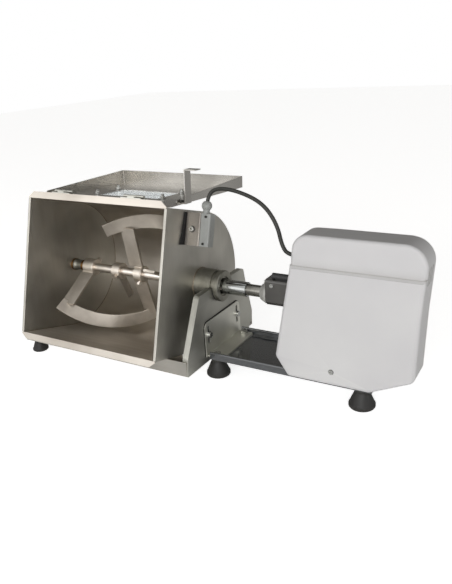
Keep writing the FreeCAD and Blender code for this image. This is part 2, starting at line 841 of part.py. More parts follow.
def make_cable_grommet():
    # Its flange lies against the sloping wall, so the wall's shape is taken out of it.
    x = cable_entry.x
    outer = rod(x - 10, x - 1, cable_hole_radius, cable_entry.y, cable_entry.z)
    flange = rod(x - 10, x - 4.5, cable_hole_radius + 2.5, cable_entry.y, cable_entry.z)
    inner = rod(x - 11, x, cable_radius, cable_entry.y, cable_entry.z)
    grommet = fuse([outer, flange]).cut(inner).cut(make_motor_cover())
    return max(grommet.Solids, key=lambda solid: solid.Volume)


# Gearbox, motor and drive shaft

cluster_distance = gear_module * (pinion_teeth + wheel_teeth) / 2.0
cluster_y = cluster_distance * math.cos(math.radians(cluster_angle))
cluster_z = cluster_distance * math.sin(math.radians(cluster_angle))
output_gear_left = housing_left + housing_wall + 1.5
first_stage_left = output_gear_left + pinion_width + 1.5
backlash = 0.12


def gear(teeth, x0, width, y, z, phase, bore):
    # An involute spur gear along X; one tooth's middle points at the phase angle from +Y.
    pitch = gear_module * teeth / 2.0
    base = pitch * math.cos(math.radians(20))
    outer = pitch + gear_module
    root = pitch - 1.25 * gear_module
    half_tooth = (math.pi / 2.0 - backlash / gear_module) / teeth
    involute_at_pitch = math.tan(math.radians(20)) - math.radians(20)
    flank = []
    step_count = 5
    low = max(base, root)
    for k in range(step_count + 1):
        r = low + (outer - low) * k / step_count
        pressure = math.acos(min(1.0, base / r))
        offset = half_tooth + involute_at_pitch - (math.tan(pressure) - pressure)
        flank.append((r, offset))
    points = []
    for tooth in range(teeth):
        middle = math.radians(phase) + 2 * math.pi * tooth / teeth
        if root < base:
            points.append((root, middle - flank[0][1]))
        points += [(r, middle - offset) for r, offset in flank]
        points += [(r, middle + offset) for r, offset in reversed(flank)]
        if root < base:
            points.append((root, middle + flank[0][1]))
    corners = [V(x0, y + r * math.cos(a), z + r * math.sin(a)) for r, a in points]
    wheel = Part.Face(Part.makePolygon(corners + [corners[0]])).extrude(V(width, 0, 0))
    if bore > 0:
        wheel = wheel.cut(rod(x0, x0 + width, bore, y, z))
    return wheel


pinion_step = 360.0 / pinion_teeth


def make_drive_sleeve():
    sleeve = rod(sleeve_left, sleeve_right, sleeve_radius)
    sleeve = sleeve.cut(rod(sleeve_left, shaft_right_end + 2, shaft_radius + running_gap))
    sleeve = sleeve.cut(rod(shaft_right_end + 2, sleeve_right, output_radius))
    slot = pin_radius + 0.25
    sleeve = sleeve.cut(box(sleeve_left, pin_x, -30, 30, -slot, slot))
    sleeve = sleeve.cut(Part.makeCylinder(slot, 60, V(pin_x, -30, 0), V(0, 1, 0)))
    end = [edge for edge in sleeve.Edges
           if abs(edge.CenterOfMass.x - sleeve_right) < 0.01
             and edge.BoundBox.YLength > 2 * sleeve_radius - 0.1]
    return sleeve.makeChamfer(1.0, end)


pin_radius = 3.0
pin_x = 52.0


def make_output_shaft():
    shaft = rod(shaft_right_end + 2, output_gear_left + gear_width + 1, output_radius)
    return shaft


def make_output_gear():
    phase = cluster_angle
    return gear(wheel_teeth, output_gear_left, gear_width, 0, 0, phase, output_radius)


def make_cluster_gear():
    # The small pinion meets the output gear; the wheel beside it meets the rotor's pinion.
    phase = cluster_angle + 180.0 + pinion_step / 2.0
    pinion = gear(pinion_teeth, output_gear_left - 0.5, pinion_width, cluster_y, cluster_z, phase, 0)
    wheel = gear(wheel_teeth, first_stage_left, gear_width, cluster_y, cluster_z, cluster_angle + 180.0, 0)
    spindle_left = housing_left + housing_wall / 2.0
    spindle_right = housing_right - housing_wall / 2.0
    spindle = rod(spindle_left, spindle_right, cluster_spindle_radius, cluster_y, cluster_z)
    spacer = rod(output_gear_left, first_stage_left, 6.5, cluster_y, cluster_z)
    return fuse([pinion, wheel, spindle, spacer])


cluster_spindle_radius = 4.0
pinion_seat_radius = 5.0


def make_motor_pinion():
    phase = cluster_angle + pinion_step / 2.0
    return gear(pinion_teeth, first_stage_left - 0.5, pinion_width, 0, 0, phase, pinion_seat_radius)


def make_motor_rotor():
    core_left = housing_right + 22
    core = rod(core_left, core_left + rotor_core_length, rotor_radius)
    shaft = rod(first_stage_left + pinion_width + 1, can_right + bell_length - 4, rotor_shaft_radius)
    nose = rod(first_stage_left - 0.5, first_stage_left + pinion_width + 1, pinion_seat_radius)
    return fuse([core, shaft, nose])


rotor_core_length = 86.0
can_right = housing_right + can_length


def make_motor_can():
    return tube(housing_right, can_right, can_radius, can_radius - can_sheet)


def make_stator():
    left = housing_right + 22
    core = tube(left, left + rotor_core_length, can_radius - can_sheet, core_bore_radius)
    windings = [tube(left - 12, left, can_radius - can_sheet - 3, core_bore_radius + 4),
                tube(left + rotor_core_length, left + rotor_core_length + 12,
                     can_radius - can_sheet - 3, core_bore_radius + 4)]
    return Part.makeCompound([core] + windings)


def make_end_bell():
    bell = rod(can_right, can_right + bell_length, can_radius)
    bell = bell.cut(rod(can_right, can_right + 6, can_radius - can_sheet))
    bell = bell.cut(rod(can_right, can_right + bell_length - 3, 13.0))
    edge = [e for e in bell.Edges if abs(e.CenterOfMass.x - can_right - bell_length) < 0.01]
    return bell.makeFillet(4.0, edge)


def make_bearings():
    rings = []
    for x in (nose_left + 5, housing_left - bearing_width - 4):
        rings.append(tube(x, x + bearing_width, nose_bore_radius, output_radius + running_gap))
    rings.append(tube(housing_right - housing_wall, housing_right + 4, 13.0,
                      rotor_shaft_radius + running_gap))
    rings.append(tube(can_right + bell_length - 3 - 7, can_right + bell_length - 3, 13.0,
                      rotor_shaft_radius + running_gap))
    return Part.makeCompound(rings)


def make_bearing_collar():
    left = nose_left - 14
    wire = Part.makePolygon([V(left, 0, output_radius + running_gap), V(left, 0, 15.0),
                             V(left + 3, 0, 16.5),
                             V(nose_left - 4, 0, 20.0), V(nose_left, 0, 20.0),
                             V(nose_left, 0, output_radius + running_gap),
                             V(left, 0, output_radius + running_gap)])
    collar = Part.Face(wire).revolve(V(0, 0, 0), V(1, 0, 0), 360)
    return collar


def make_gear_case():
    points = [(nose_front, nose_low + 8), (nose_front + 8, nose_low), (nose_back, nose_low),
              (nose_back, nose_high), (nose_front, nose_high)]
    case = plate_yz(points, [4, 4, 4, 5, 5], nose_left, housing_left)
    return case.cut(rod(nose_left, housing_left, nose_bore_radius))


breather_radius = 6.2


def make_case_breather():
    y = nose_front + 7.5
    z = nose_high + breather_radius
    plug = rod(nose_left + 13, housing_left - 19, breather_radius, y, z)
    foot = box(nose_left + 23, housing_left - 26, y - 4, y + 4, nose_high, z - 2)
    notch = box(nose_left + 17, nose_left + 21, y - 8, y - 1, z - 8, z - 1)
    return fuse([plug, foot]).cut(notch)


def make_case_screws():
    screws = []
    upper = nose_high - 6
    for y, z in ((nose_front + 5, upper), (nose_back - 5, upper), (nose_back - 5, nose_low + 6)):
        screws.append(rod(nose_left - 3, nose_left, 2.8, y, z))
    screws.append(along_y(nose_left + 13.5, nose_high - 9.6, nose_front - 2.5, nose_front, 3.6))
    return screws


housing_front = -36.0
housing_back = cluster_y + 34.0
housing_low = -36.0
housing_high = cluster_z + 34.0


def make_gearbox_housing():
    outer = box(housing_left, housing_right, housing_front, housing_back, housing_low, housing_high)
    vertical = [e for e in outer.Edges if abs(e.tangentAt(0).x) > 0.99]
    outer = outer.makeFillet(10.0, vertical)
    w = housing_wall
    inner = box(housing_left + w, housing_right - w, housing_front + w, housing_back - w,
                housing_low + w, housing_high - w)
    housing = outer.cut(inner)
    housing = housing.cut(rod(housing_left, housing_left + w, output_radius + 1))
    housing = housing.cut(rod(housing_right - w, housing_right, 13.0))
    left_pocket = rod(housing_left + w / 2.0 - 0.2, housing_left + w, cluster_spindle_radius + running_gap,
                      cluster_y, cluster_z)
    right_pocket = rod(housing_right - w, housing_right - w / 2.0 + 0.2,
                       cluster_spindle_radius + running_gap, cluster_y, cluster_z)
    return cut(housing, [left_pocket, right_pocket])


mount_half = 44.0


def make_motor_mount():
    plates = []
    for x in (housing_right + 22, housing_right + 78):
        plate = box(x, x + 8, -mount_half, mount_half, pan_floor_top + 3, -can_radius / 2.0)
        plate = plate.cut(rod(x, x + 8, can_radius))
        plates.append(plate)
    near = housing_right + 10
    base = box(near, near + 90, -mount_half, mount_half, pan_floor_top, pan_floor_top + 3)
    return fuse(plates + [base])


capacitor_radius = 17.0
clip_half = 12.0


def make_capacitor():
    centre_z = can_radius + 4 + capacitor_radius
    left = housing_right + 30
    body = rod(left, left + 70, capacitor_radius, 0, centre_z)
    clip = box(left + 20, left + 50, -clip_half, clip_half, can_radius - 4, centre_z - 6)
    clip = clip.cut(rod(left, left + 70, can_radius))
    clip = clip.cut(rod(left, left + 70, capacitor_radius, 0, centre_z))
    return Part.makeCompound([body, clip])


# Agitator

def helical_blade(x0, start_angle, turn):
    # A flat band whose radial lines climb along the shaft as they turn about it.
    wires = []
    section_count = 10
    for k in range(section_count):
        share = k / (section_count - 1.0)
        angle = math.radians(start_angle + turn * share)
        x = x0 + blade_span * share
        out = V(0, math.cos(angle), math.sin(angle))
        across = V(0, -math.sin(angle), math.cos(angle))
        climb = (V(blade_span, 0, 0)
                 + across * math.radians(turn) * (blade_inner_radius + blade_outer_radius) / 2.0)
        normal = climb.cross(out)
        normal.normalize()
        near = V(x, 0, 0) + out * blade_inner_radius
        far = V(x, 0, 0) + out * blade_outer_radius
        half = normal * (blade_sheet / 2.0)
        wires.append(Part.makePolygon([near - half, far - half, far + half, near + half, near - half]))
    return Part.makeLoft(wires, True, False)


def radial_bar(x, angle, outline):
    # A flat bar that stands out from a collar. Its outline is given along the shaft and outwards.
    bar = plate_xz(outline, [0] * len(outline), -arm_sheet / 2.0, arm_sheet / 2.0)
    bar.translate(V(x, 0, 0))
    bar = bar.cut(rod(x - arm_width, x + arm_width, collar_radius))
    bar.rotate(V(0, 0, 0), V(1, 0, 0), angle - 90.0)
    return bar


collar_middles = [start + width / 2.0 for start, width in zip(collar_starts, collar_widths)]
bolt_angles = (30.0, 203.0, 245.0, 250.0)


def make_collars():
    collars = []
    for start, width in zip(collar_starts, collar_widths):
        ring = tube(start, start + width, collar_radius, shaft_radius)
        rims = [e for e in ring.Edges if e.BoundBox.YLength > 2 * collar_radius - 0.1]
        collars.append(ring.makeChamfer(1.0, rims))
    return [cut(collar, bolt_shanks()) for collar in collars]


def bolt_place(k):
    a = math.radians(bolt_angles[k])
    x = collar_middles[k]
    if k == 0:
        x = collar_starts[0] + collar_widths[0] - 7
    return V(x, 0, 0), V(0, math.cos(a), math.sin(a))


def bolt_shanks():
    shanks = []
    for k in range(len(collar_starts)):
        middle, out = bolt_place(k)
        root = middle + out * (shaft_radius - 2)
        shank = Part.makeCylinder(4.0, collar_radius - shaft_radius + 5.0, root, out)
        shanks.append(shank.cut(rod(middle.x - 6, middle.x + 6, shaft_radius)))
    return shanks


def make_blade_arms():
    third = collar_middles[2] - arm_set_back
    plans = ((collar_middles[0], 212.0), (third, 287.0), (third, 100.0), (collar_middles[3], 39.0))
    half = arm_width / 2.0
    reach = blade_inner_radius + 7
    arms = []
    for x, angle in plans:
        arm = radial_bar(x, angle, [(-half, 0), (half, 0), (half, reach), (-half, reach)])
        arm = cut(arm, [make_lower_blade(), make_upper_blade()])
        arms.append(max(arm.Solids, key=lambda solid: solid.Volume))
    return arms


def make_lower_blade():
    return helical_blade(lower_blade_left, lower_blade_start, blade_turn)


def make_upper_blade():
    return helical_blade(upper_blade_left, upper_blade_start, -blade_turn)


def make_fingers():
    fingers = []
    half = finger_width / 2.0
    for k, angle, reach in ((1, 293.0, blade_inner_radius - 16), (3, 152.0, blade_inner_radius)):
        outline = [(-half, 0), (half, 0), (half, reach - 14), (-half, reach)]
        fingers.append(radial_bar(collar_middles[k], angle, outline))
    return fingers


def make_collar_bolts():
    bolts = []
    for k, shank in enumerate(bolt_shanks()):
        middle, out = bolt_place(k)
        head = hexagon(middle + out * (collar_radius + 1.2), out, 10.0, 5.0)
        bolts.append(fuse([shank, head]))
    return bolts


def make_agitator_shaft():
    shaft = rod(shaft_left_end, shaft_right_end, shaft_radius)
    return shaft.cut(Part.makeCylinder(pin_radius, 40, V(pin_x, -20, 0), V(0, 1, 0)))


def make_cross_pin():
    return Part.makeCylinder(pin_radius, 2 * sleeve_radius, V(pin_x, -sleeve_radius, 0), V(0, 1, 0))


# Lid: modelled open around its hinge axis, then drooped and set on the tub's flange

hinge_local_y = -mouth_depth + hinge_setback
hinge_local_z = tub_radius + flange_width + hinge_height
hinge_y = hinge_local_y * math.cos(tilt) + hinge_local_z * math.sin(tilt)
hinge_z = -hinge_local_y * math.sin(tilt) + hinge_local_z * math.cos(tilt)
lid_left = wall_left + wall_sheet + lid_side_gap
lid_right = -wall_sheet - lid_side_gap
lid_floor = -hinge_drop + lid_sheet
lid_start = 5.0
strip_near = hinge_local_z - plunger_z - strip_width / 2.0 - 1.0
strip_height = bracket_front - plunger_proud - face_gap - hinge_local_y - lid_floor
rim_start = 26.0
window_far = window_near + window_depth
window_right = window_left + window_width


def set_on_tub(shape):
    placed = shape.copy()
    placed.rotate(V(0, 0, 0), V(1, 0, 0), -lid_droop)
    placed.translate(V(0, hinge_y, hinge_z))
    return placed


def make_lid_tray():
    outline = [(lid_left, lid_start), (lid_right, lid_start), (lid_right, lid_length),
               (lid_left, lid_length)]
    floor = plate_xy(outline, [5, 5, 3, 3], -hinge_drop, lid_floor)
    top = lid_floor + lid_rim
    shapes = [floor]
    for x0, x1 in ((lid_left, lid_left + lid_sheet), (lid_right - lid_sheet, lid_right)):
        side = plate_yz([(rim_start, -hinge_drop), (lid_length - 3, -hinge_drop), (lid_length - 3, top),
                         (rim_start, lid_floor + lid_rim_near)], [0, 0, 0, 4], x0, x1)
        shapes.append(side)
    shapes.append(box(lid_left + 3, lid_right - 3, lid_length - lid_sheet, lid_length, -hinge_drop, top))
    for x, edge in ((lid_left, 1), (lid_right, -1)):
        corner = tube_corner(x + edge * 3, lid_length - 3, edge, top)
        shapes.append(corner)
    tray = fuse(shapes)
    window = plate_xy([(window_left, window_near), (window_right, window_near), (window_right, window_far),
                       (window_left, window_far)], [4, 4, 4, 4], -hinge_drop - 1, lid_floor + 1)
    tools = [window]
    tools += [post(x, y, -hinge_drop - 1, lid_floor + 1, window_bolt_radius) for x, y in window_bolt_places]
    ledge = box(lid_right - 14, lid_right + 1, strip_near, strip_near + strip_width,
                lid_floor, top + 1)
    tools.append(ledge)
    return set_on_tub(cut(tray, tools))


def tube_corner(x, y, edge, top):
    ring = post(x, y, -hinge_drop, top, 3.0).cut(post(x, y, -hinge_drop - 1, top + 1, 3.0 - lid_sheet))
    quarter = box(min(x, x - edge * 4), max(x, x - edge * 4), y, y + 4, -hinge_drop, top)
    return ring.common(quarter)


window_bolt_radius = 2.5
pane_margin = 14.0
window_bolt_places = [(x, y) for x in (window_left - 9, window_right + 9)
                      for y in (window_near + 6, window_far - 7)]


def make_lid_window():
    x0 = window_left - pane_margin
    x1 = window_right + pane_margin
    y0 = window_near - pane_margin
    y1 = window_far + pane_margin
    low = -hinge_drop - 3.0
    pane = plate_xy([(x0, y0), (x1, y0), (x1, y1), (x0, y1)], [6, 6, 6, 6], low, -hinge_drop)
    holes = [post(x, y, low - 1, 0, window_bolt_radius) for x, y in window_bolt_places]
    return set_on_tub(cut(pane, holes))


def make_window_bolts():
    bolts = []
    low = -hinge_drop - 3.0
    for x, y in window_bolt_places:
        shank = post(x, y, low, lid_floor + 9, window_bolt_radius)
        head = post(x, y, low - 2, low, 4.5)
        washer = post(x, y, lid_floor, lid_floor + 1, 5.0)
        nut = hexagon(V(x, y, lid_floor + 1), V(0, 0, 1), 8.0, 4.0)
        bolts.append(set_on_tub(fuse([shank, head, washer, nut])))
    return bolts


strip_sheet = 2.0
strip_left = lip_width + 1.5
strip_foot_left = lid_right - 12.0


def make_actuator_strip():
    y0 = strip_near + 0.5
    y1 = strip_near + strip_width - 0.5
    foot = box(strip_foot_left, strip_left + strip_sheet, y0, y1, lid_floor, lid_floor + strip_sheet)
    top = lid_floor + strip_height
    blade = box(strip_left, strip_left + strip_sheet, y0, y1, lid_floor, top)
    tab = box(strip_left, strip_left + strip_tab, y0, y1, top - strip_sheet, top)
    strip = fuse([foot, blade, tab])
    holes = [post(strip_foot_left + 5, y, lid_floor - 1, lid_floor + 4, 1.5) for y in strip_screw_ys]
    return set_on_tub(cut(strip, holes))


strip_screw_ys = (strip_near + 4.0, strip_near + strip_width / 2.0, strip_near + strip_width - 4.0)


def make_strip_screws():
    screws = []
    for y in strip_screw_ys:
        seat = lid_floor + strip_sheet
        shank = post(strip_foot_left + 5, y, lid_floor, seat, 1.5)
        head = post(strip_foot_left + 5, y, seat, seat + 2, 2.8)
        screws.append(set_on_tub(fuse([shank, head])))
    return screws


def make_lid_handle():
    # A bent grip on the middle of the far rim.
    middle = (lid_left + lid_right) / 2.0
    top = lid_floor + lid_rim
    face = box(middle - 22, middle + 22, lid_length, lid_length + 2, top - 21, top - 6)
    grip = box(middle - 22, middle + 22, lid_length, lid_length + 8, top - 8, top - 6)
    handle = fuse([face, grip])
    rivets = [Part.makeCylinder(2.5, 1.5, V(middle + dx, lid_length + 2, top - 15), V(0, 1, 0))
              for dx in (-14, 14)]
    return set_on_tub(fuse([handle] + rivets))


leaf_sheet = 2.0


def make_lid_hinge_leaves():
    leaves = []
    for start in hinge_starts:
        third = hinge_length / 3.0
        for k in (0, 2):
            x0 = start + k * third + 0.2
            x1 = start + (k + 1) * third - 0.2
            knuckle = rod(x0, x1, knuckle_radius)
            web = box(x0, x1, knuckle_radius - leaf_sheet, knuckle_radius, lid_floor, 0)
            foot = box(x0, x1, knuckle_radius - leaf_sheet, 24, lid_floor, lid_floor + leaf_sheet)
            leaf = fuse([knuckle, web, foot]).cut(rod(x0, x1, hinge_pin_radius))
            leaves.append(set_on_tub(leaf))
    return leaves


def make_hinge_pins():
    pins = []
    for start in hinge_starts:
        pins.append(set_on_tub(rod(start - 1, start + hinge_length + 1, hinge_pin_radius)))
    return pins


def make_tub_hinge_leaves():
    leaves = []
    for start in hinge_starts:
        third = hinge_length / 3.0
        x0 = start + third + 0.2
        x1 = start + 2 * third - 0.2
        y0 = -mouth_depth
        knuckle = rod(x0, x1, knuckle_radius, hinge_local_y, hinge_local_z)
        low = hinge_local_z - knuckle_radius
        arm = box(x0, x1, y0, hinge_local_y, low, low + 2)
        foot = box(start, start + hinge_length, y0, y0 + leaf_sheet, tub_radius, low)
        leaf = fuse([knuckle, arm, foot])
        leaf = leaf.cut(rod(x0, x1, hinge_pin_radius + running_gap, hinge_local_y, hinge_local_z))
        leaves.append(tipped(leaf))
    return Part.makeCompound(leaves)


# Safety switch

box_front = bracket_front + switch_sheet


def make_switch_bracket():
    depth = 30.0
    front = box(0, switch_reach, bracket_front, bracket_front + switch_sheet, bracket_low, bracket_high)
    wall_leg = box(0, switch_sheet, bracket_front, bracket_front + depth, bracket_low, bracket_high)
    side_leg = box(switch_reach - switch_sheet, switch_reach, bracket_front, bracket_front + depth,
                   bracket_low, bracket_high)
    bracket = fuse([front, wall_leg, side_leg])
    bend = [e for e in bracket.Edges if abs(e.CenterOfMass.x - switch_reach) < 0.01
            and abs(e.CenterOfMass.y - bracket_front) < 0.01]
    bracket = bracket.makeFillet(1.8, bend)
    hole = along_y(plunger_x, plunger_z, bracket_front - 1, bracket_front + 5, plunger_radius + loose_gap)
    return tipped(bracket.cut(hole))


def make_switch_box():
    left = switch_reach
    right = switch_reach + switch_box_width
    back = box_front + switch_box_depth
    body = box(left, right, box_front, back, bracket_low, bracket_high)
    upright_edges = [e for e in body.Edges if abs(e.tangentAt(0).z) > 0.99 and e.CenterOfMass.x > right - 1]
    return tipped(body.makeFillet(3.0, upright_edges))


def make_limit_switch():
    body = box(plunger_x - 11, plunger_x + 11, box_front, box_front + 16, plunger_z - 14, plunger_z + 14)
    bore = along_y(plunger_x, plunger_z, box_front, box_front + 12, plunger_radius + running_gap)
    arm_end = switch_reach - switch_sheet
    arm = box(plunger_x + 11, arm_end, box_front, box_front + 8, plunger_z - 6, plunger_z + 6)
    return tipped(fuse([body, arm]).cut(bore))


def make_switch_plunger():
    tip = along_y(plunger_x, plunger_z, bracket_front - plunger_proud, box_front + 8.5, plunger_radius)
    rounded_end = [e for e in tip.Edges if abs(e.CenterOfMass.y - bracket_front + plunger_proud) < 0.01]
    return tipped(tip.makeFillet(1.2, rounded_end))


def make_switch_gland():
    neck = post(gland_x, gland_y, bracket_high, bracket_high + 7, gland_neck_radius)
    ball = Part.makeSphere(gland_ball_radius, V(gland_x, gland_y, bracket_high + 14))
    ball = ball.common(post(gland_x, gland_y, bracket_high + 6, bracket_high + 22, gland_ball_radius + 1))
    bore = post(gland_x, gland_y, bracket_high + cable_seat - 1, bracket_high + 23, cable_radius)
    return tipped(fuse([neck, ball]).cut(bore))


def make_switch_screws():
    screws = []
    for x, z in ((switch_reach + 10, bracket_high - 6), (switch_reach + 8, bracket_low + 5)):
        screws.append(tipped(along_y(x, z, box_front - 1.6, box_front, 2.4)))
    for z in (bracket_low + 12, bracket_high - 12):
        screws.append(tipped(rod(switch_sheet, switch_sheet + 2, 4.0, bracket_front + 18, z)))
    return Part.makeCompound(screws)


# Tilt lock on the left upright

lock_outer_x = wall_left - upright_gap
lock_barrel_length = 24.0
lock_tip_x = wall_left - lock_plate_sheet - 1.5
lock_collar_x = lock_outer_x - 8.0


def make_lock_barrel():
    left = lock_outer_x - lock_barrel_length
    barrel = rod(left, lock_outer_x, 10.0, lock_y, lock_z)
    barrel = barrel.cut(rod(left + 3, lock_outer_x, 7.5, lock_y, lock_z))
    barrel = barrel.cut(rod(left - 1, left + 4, lock_pin_radius + running_gap, lock_y, lock_z))
    flange = rod(lock_outer_x - 3, lock_outer_x, 15.0, lock_y, lock_z)
    flange = flange.cut(rod(lock_outer_x - 4, lock_outer_x, 7.5, lock_y, lock_z))
    return fuse([barrel, flange])


def make_lock_pin():
    left = lock_outer_x - lock_barrel_length
    pin = rod(left - 14, lock_tip_x, lock_pin_radius, lock_y, lock_z)
    collar = rod(lock_collar_x - 2, lock_collar_x, 7.2, lock_y, lock_z)
    nose = [e for e in pin.Edges if abs(e.CenterOfMass.x - lock_tip_x) < 0.01]
    return fuse([pin.makeChamfer(1.0, nose), collar])


def make_lock_knob():
    left = lock_outer_x - lock_barrel_length
    knob = rod(left - 26, left - 8, 13.0, lock_y, lock_z)
    rims = [e for e in knob.Edges if e.BoundBox.YLength > 25]
    knob = knob.makeFillet(3.0, rims)
    return knob.cut(rod(left - 14, left - 8, lock_pin_radius, lock_y, lock_z))


def make_lock_spring():
    left = lock_outer_x - lock_barrel_length + 3.0
    right = lock_collar_x - 2.0
    wire_radius = 0.5
    coil_radius = 6.6
    turn_count = 4
    step_count = 8
    corner_count = turn_count * step_count
    start = left + wire_radius + 0.1
    length = right - start - wire_radius - 0.1
    points = []
    for k in range(corner_count + 1):
        a = 2 * math.pi * k / step_count
        points.append(V(start + length * k / corner_count, lock_y + coil_radius * math.cos(a),
                        lock_z + coil_radius * math.sin(a)))
    path, radii = cable_path(points)
    ring = Part.Wire(Part.makeCircle(wire_radius, points[0], points[1] - points[0]))
    return path.makePipeShell([ring], True, True)


def main():
    nodes = {}
    nodes["tub_trough"] = make_tub_trough()
    nodes["tub_right_wall"] = make_tub_wall(0.0, -wall_sheet, bush_radius)
    nodes["tub_left_wall"] = make_tub_wall(wall_left, wall_left + wall_sheet, bush_radius)
    nodes["right_hub"] = make_right_hub()
    nodes["left_hub"] = make_left_hub()
    nodes["shaft_bushes"] = make_bushes()
    nodes["hub_seal"] = make_hub_seal()
    nodes["lock_plate"] = make_lock_plate()
    nodes["right_upright"] = make_upright(upright_gap, 1, bracket_holes)
    nodes["left_upright"] = make_upright(wall_left - upright_gap, -1, lock_holes)
    nodes["saddle_liners"] = make_saddle_liners()
    nodes["base_rails"] = Part.makeCompound([make_rail(-1), make_rail(1)])
    nodes["rubber_feet"] = Part.makeCompound(make_mixer_feet() + make_motor_feet())
    nodes["foot_screws"] = make_foot_screws()
    nodes["link_bracket"] = make_link_bracket()
    nodes["bracket_bolts"] = make_bracket_bolts()
    nodes["motor_pan"] = make_motor_pan()
    nodes["motor_cover"] = make_motor_cover()
    nodes["cover_tabs"] = Part.makeCompound(make_cover_tabs())
    nodes["unit_screws"] = Part.makeCompound(make_cover_screws() + make_case_screws())
    nodes["power_switch_frame"] = make_power_switch_frame()
    nodes["power_rocker"] = make_power_rocker()
    nodes["mains_inlet"] = make_mains_inlet()
    nodes["switch_cable"] = make_switch_cable()
    nodes["cable_grommet"] = make_cable_grommet()
    nodes["drive_sleeve"] = make_drive_sleeve()
    nodes["output_gear"] = Part.makeCompound([make_output_shaft(), make_output_gear()])
    nodes["cluster_gear"] = make_cluster_gear()
    nodes["motor_rotor"] = Part.makeCompound([make_motor_rotor(), make_motor_pinion()])
    nodes["motor_can"] = make_motor_can()
    nodes["motor_stator"] = make_stator()
    nodes["end_bell"] = make_end_bell()
    nodes["bearings"] = make_bearings()
    nodes["bearing_collar"] = make_bearing_collar()
    nodes["gear_case"] = make_gear_case()
    nodes["case_breather"] = make_case_breather()
    nodes["gearbox_housing"] = make_gearbox_housing()
    nodes["motor_mount"] = make_motor_mount()
    nodes["run_capacitor"] = make_capacitor()
    nodes["agitator_shaft"] = Part.makeCompound([make_agitator_shaft(), make_cross_pin()])
    nodes["agitator_collars"] = Part.makeCompound(make_collars() + make_collar_bolts())
    nodes["lower_blade"] = make_lower_blade()
    nodes["upper_blade"] = make_upper_blade()
    nodes["agitator_arms"] = Part.makeCompound(make_blade_arms() + make_fingers())
    nodes["lid_tray"] = make_lid_tray()
    nodes["lid_window"] = make_lid_window()
    nodes["lid_fasteners"] = Part.makeCompound(make_window_bolts() + make_strip_screws())
    nodes["actuator_strip"] = make_actuator_strip()
    nodes["lid_handle"] = make_lid_handle()
    nodes["lid_hinges"] = Part.makeCompound(make_lid_hinge_leaves() + make_hinge_pins())
    nodes["tub_hinge_leaves"] = make_tub_hinge_leaves()
    nodes["switch_bracket"] = make_switch_bracket()
    nodes["switch_box"] = make_switch_box()
    nodes["limit_switch"] = make_limit_switch()
    nodes["switch_plunger"] = make_switch_plunger()
    nodes["switch_gland"] = make_switch_gland()
    nodes["switch_screws"] = make_switch_screws()
    nodes["lock_barrel"] = make_lock_barrel()
    nodes["lock_pin"] = Part.makeCompound([make_lock_pin(), make_lock_knob()])
    nodes["lock_spring"] = make_lock_spring()
    print(len(nodes), "nodes")
    for name, shape in nodes.items():
        shape = shape.copy()
        shape.translate(origin_shift)
        if not shape.isValid():
            print("invalid shape:", name)
        if shape.Volume <= 0 or not shape.Solids:
            print("no volume:", name, shape.Volume)
        shape.exportStep("parts/" + name + ".step")


main()
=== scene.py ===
# %% [markdown]
# # A tilting dough mixer, dressed for its picture
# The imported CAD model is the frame. Every cell below makes one kind of finish or one piece,
# and says first what the real thing looks like.

# %%
import bpy
import bmesh
import math
from mathutils import Matrix, Vector


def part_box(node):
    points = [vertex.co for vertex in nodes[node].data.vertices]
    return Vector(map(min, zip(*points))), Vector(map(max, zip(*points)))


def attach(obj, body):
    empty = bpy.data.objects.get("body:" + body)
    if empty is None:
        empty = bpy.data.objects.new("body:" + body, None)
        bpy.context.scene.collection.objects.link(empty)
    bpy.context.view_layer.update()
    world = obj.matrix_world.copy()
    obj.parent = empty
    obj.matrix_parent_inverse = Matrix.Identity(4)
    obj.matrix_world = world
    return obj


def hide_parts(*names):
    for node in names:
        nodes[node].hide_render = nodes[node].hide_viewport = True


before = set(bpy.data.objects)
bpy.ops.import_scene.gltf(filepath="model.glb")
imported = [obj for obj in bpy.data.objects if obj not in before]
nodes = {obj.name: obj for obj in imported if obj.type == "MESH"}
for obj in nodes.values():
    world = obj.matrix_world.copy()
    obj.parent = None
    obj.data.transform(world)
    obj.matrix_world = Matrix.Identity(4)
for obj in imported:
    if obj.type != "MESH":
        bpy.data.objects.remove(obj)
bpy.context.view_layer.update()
print("CAD nodes:", len(nodes))

# %% [markdown]
# ## Shared places
# The shaft is the machine's main axis. The tub, its lid and its switch were drawn with the mouth
# level and then tipped forward, so their finishes follow the tipped directions.

# %%
SHAFT = Vector((-0.061, 0.054, 0.160))
HINGE = Vector((0.0, -0.07817, 0.18325))
LID_DROOP = math.radians(4.0)
TUB_TILT = math.radians(16.5)
ALONG_SHAFT = Vector((1.0, 0.0, 0.0))
MM = 0.001


def at(x, y, z):
    """A place in millimetres from the shaft axis at the tub's right wall, in the row frame."""
    return SHAFT + Vector((x, y, z)) * MM


def tipped(x, y, z):
    """The same for a place drawn on the level tub."""
    c, s = math.cos(TUB_TILT), math.sin(TUB_TILT)
    return at(x, y * c + z * s, z * c - y * s)


def on_lid(x, y, z):
    """The same for a place on the open lid, from the hinge axis. z is above its floor's line."""
    c, s = math.cos(LID_DROOP), math.sin(LID_DROOP)
    return SHAFT + HINGE + Vector((x, y * c + z * s, z * c - y * s)) * MM


print("shaft axis at", [round(v, 3) for v in SHAFT])

# %% [markdown]
# ## Colours and nodes
# A colour is written as an sRGB hex value and turned linear in one place. One small function adds
# a node, one sets its sockets, and one makes a bare material with its shader.

# %%
def srgb(code):
    values = [int(code[k:k + 2], 16) / 255.0 for k in (0, 2, 4)]
    return tuple(v / 12.92 if v <= 0.04045 else ((v + 0.055) / 1.055) ** 2.4 for v in values) + (1.0,)


def add(tree, kind, **settings):
    made = tree.nodes.new("ShaderNode" + kind)
    for name, value in settings.items():
        setattr(made, name, value)
    return made


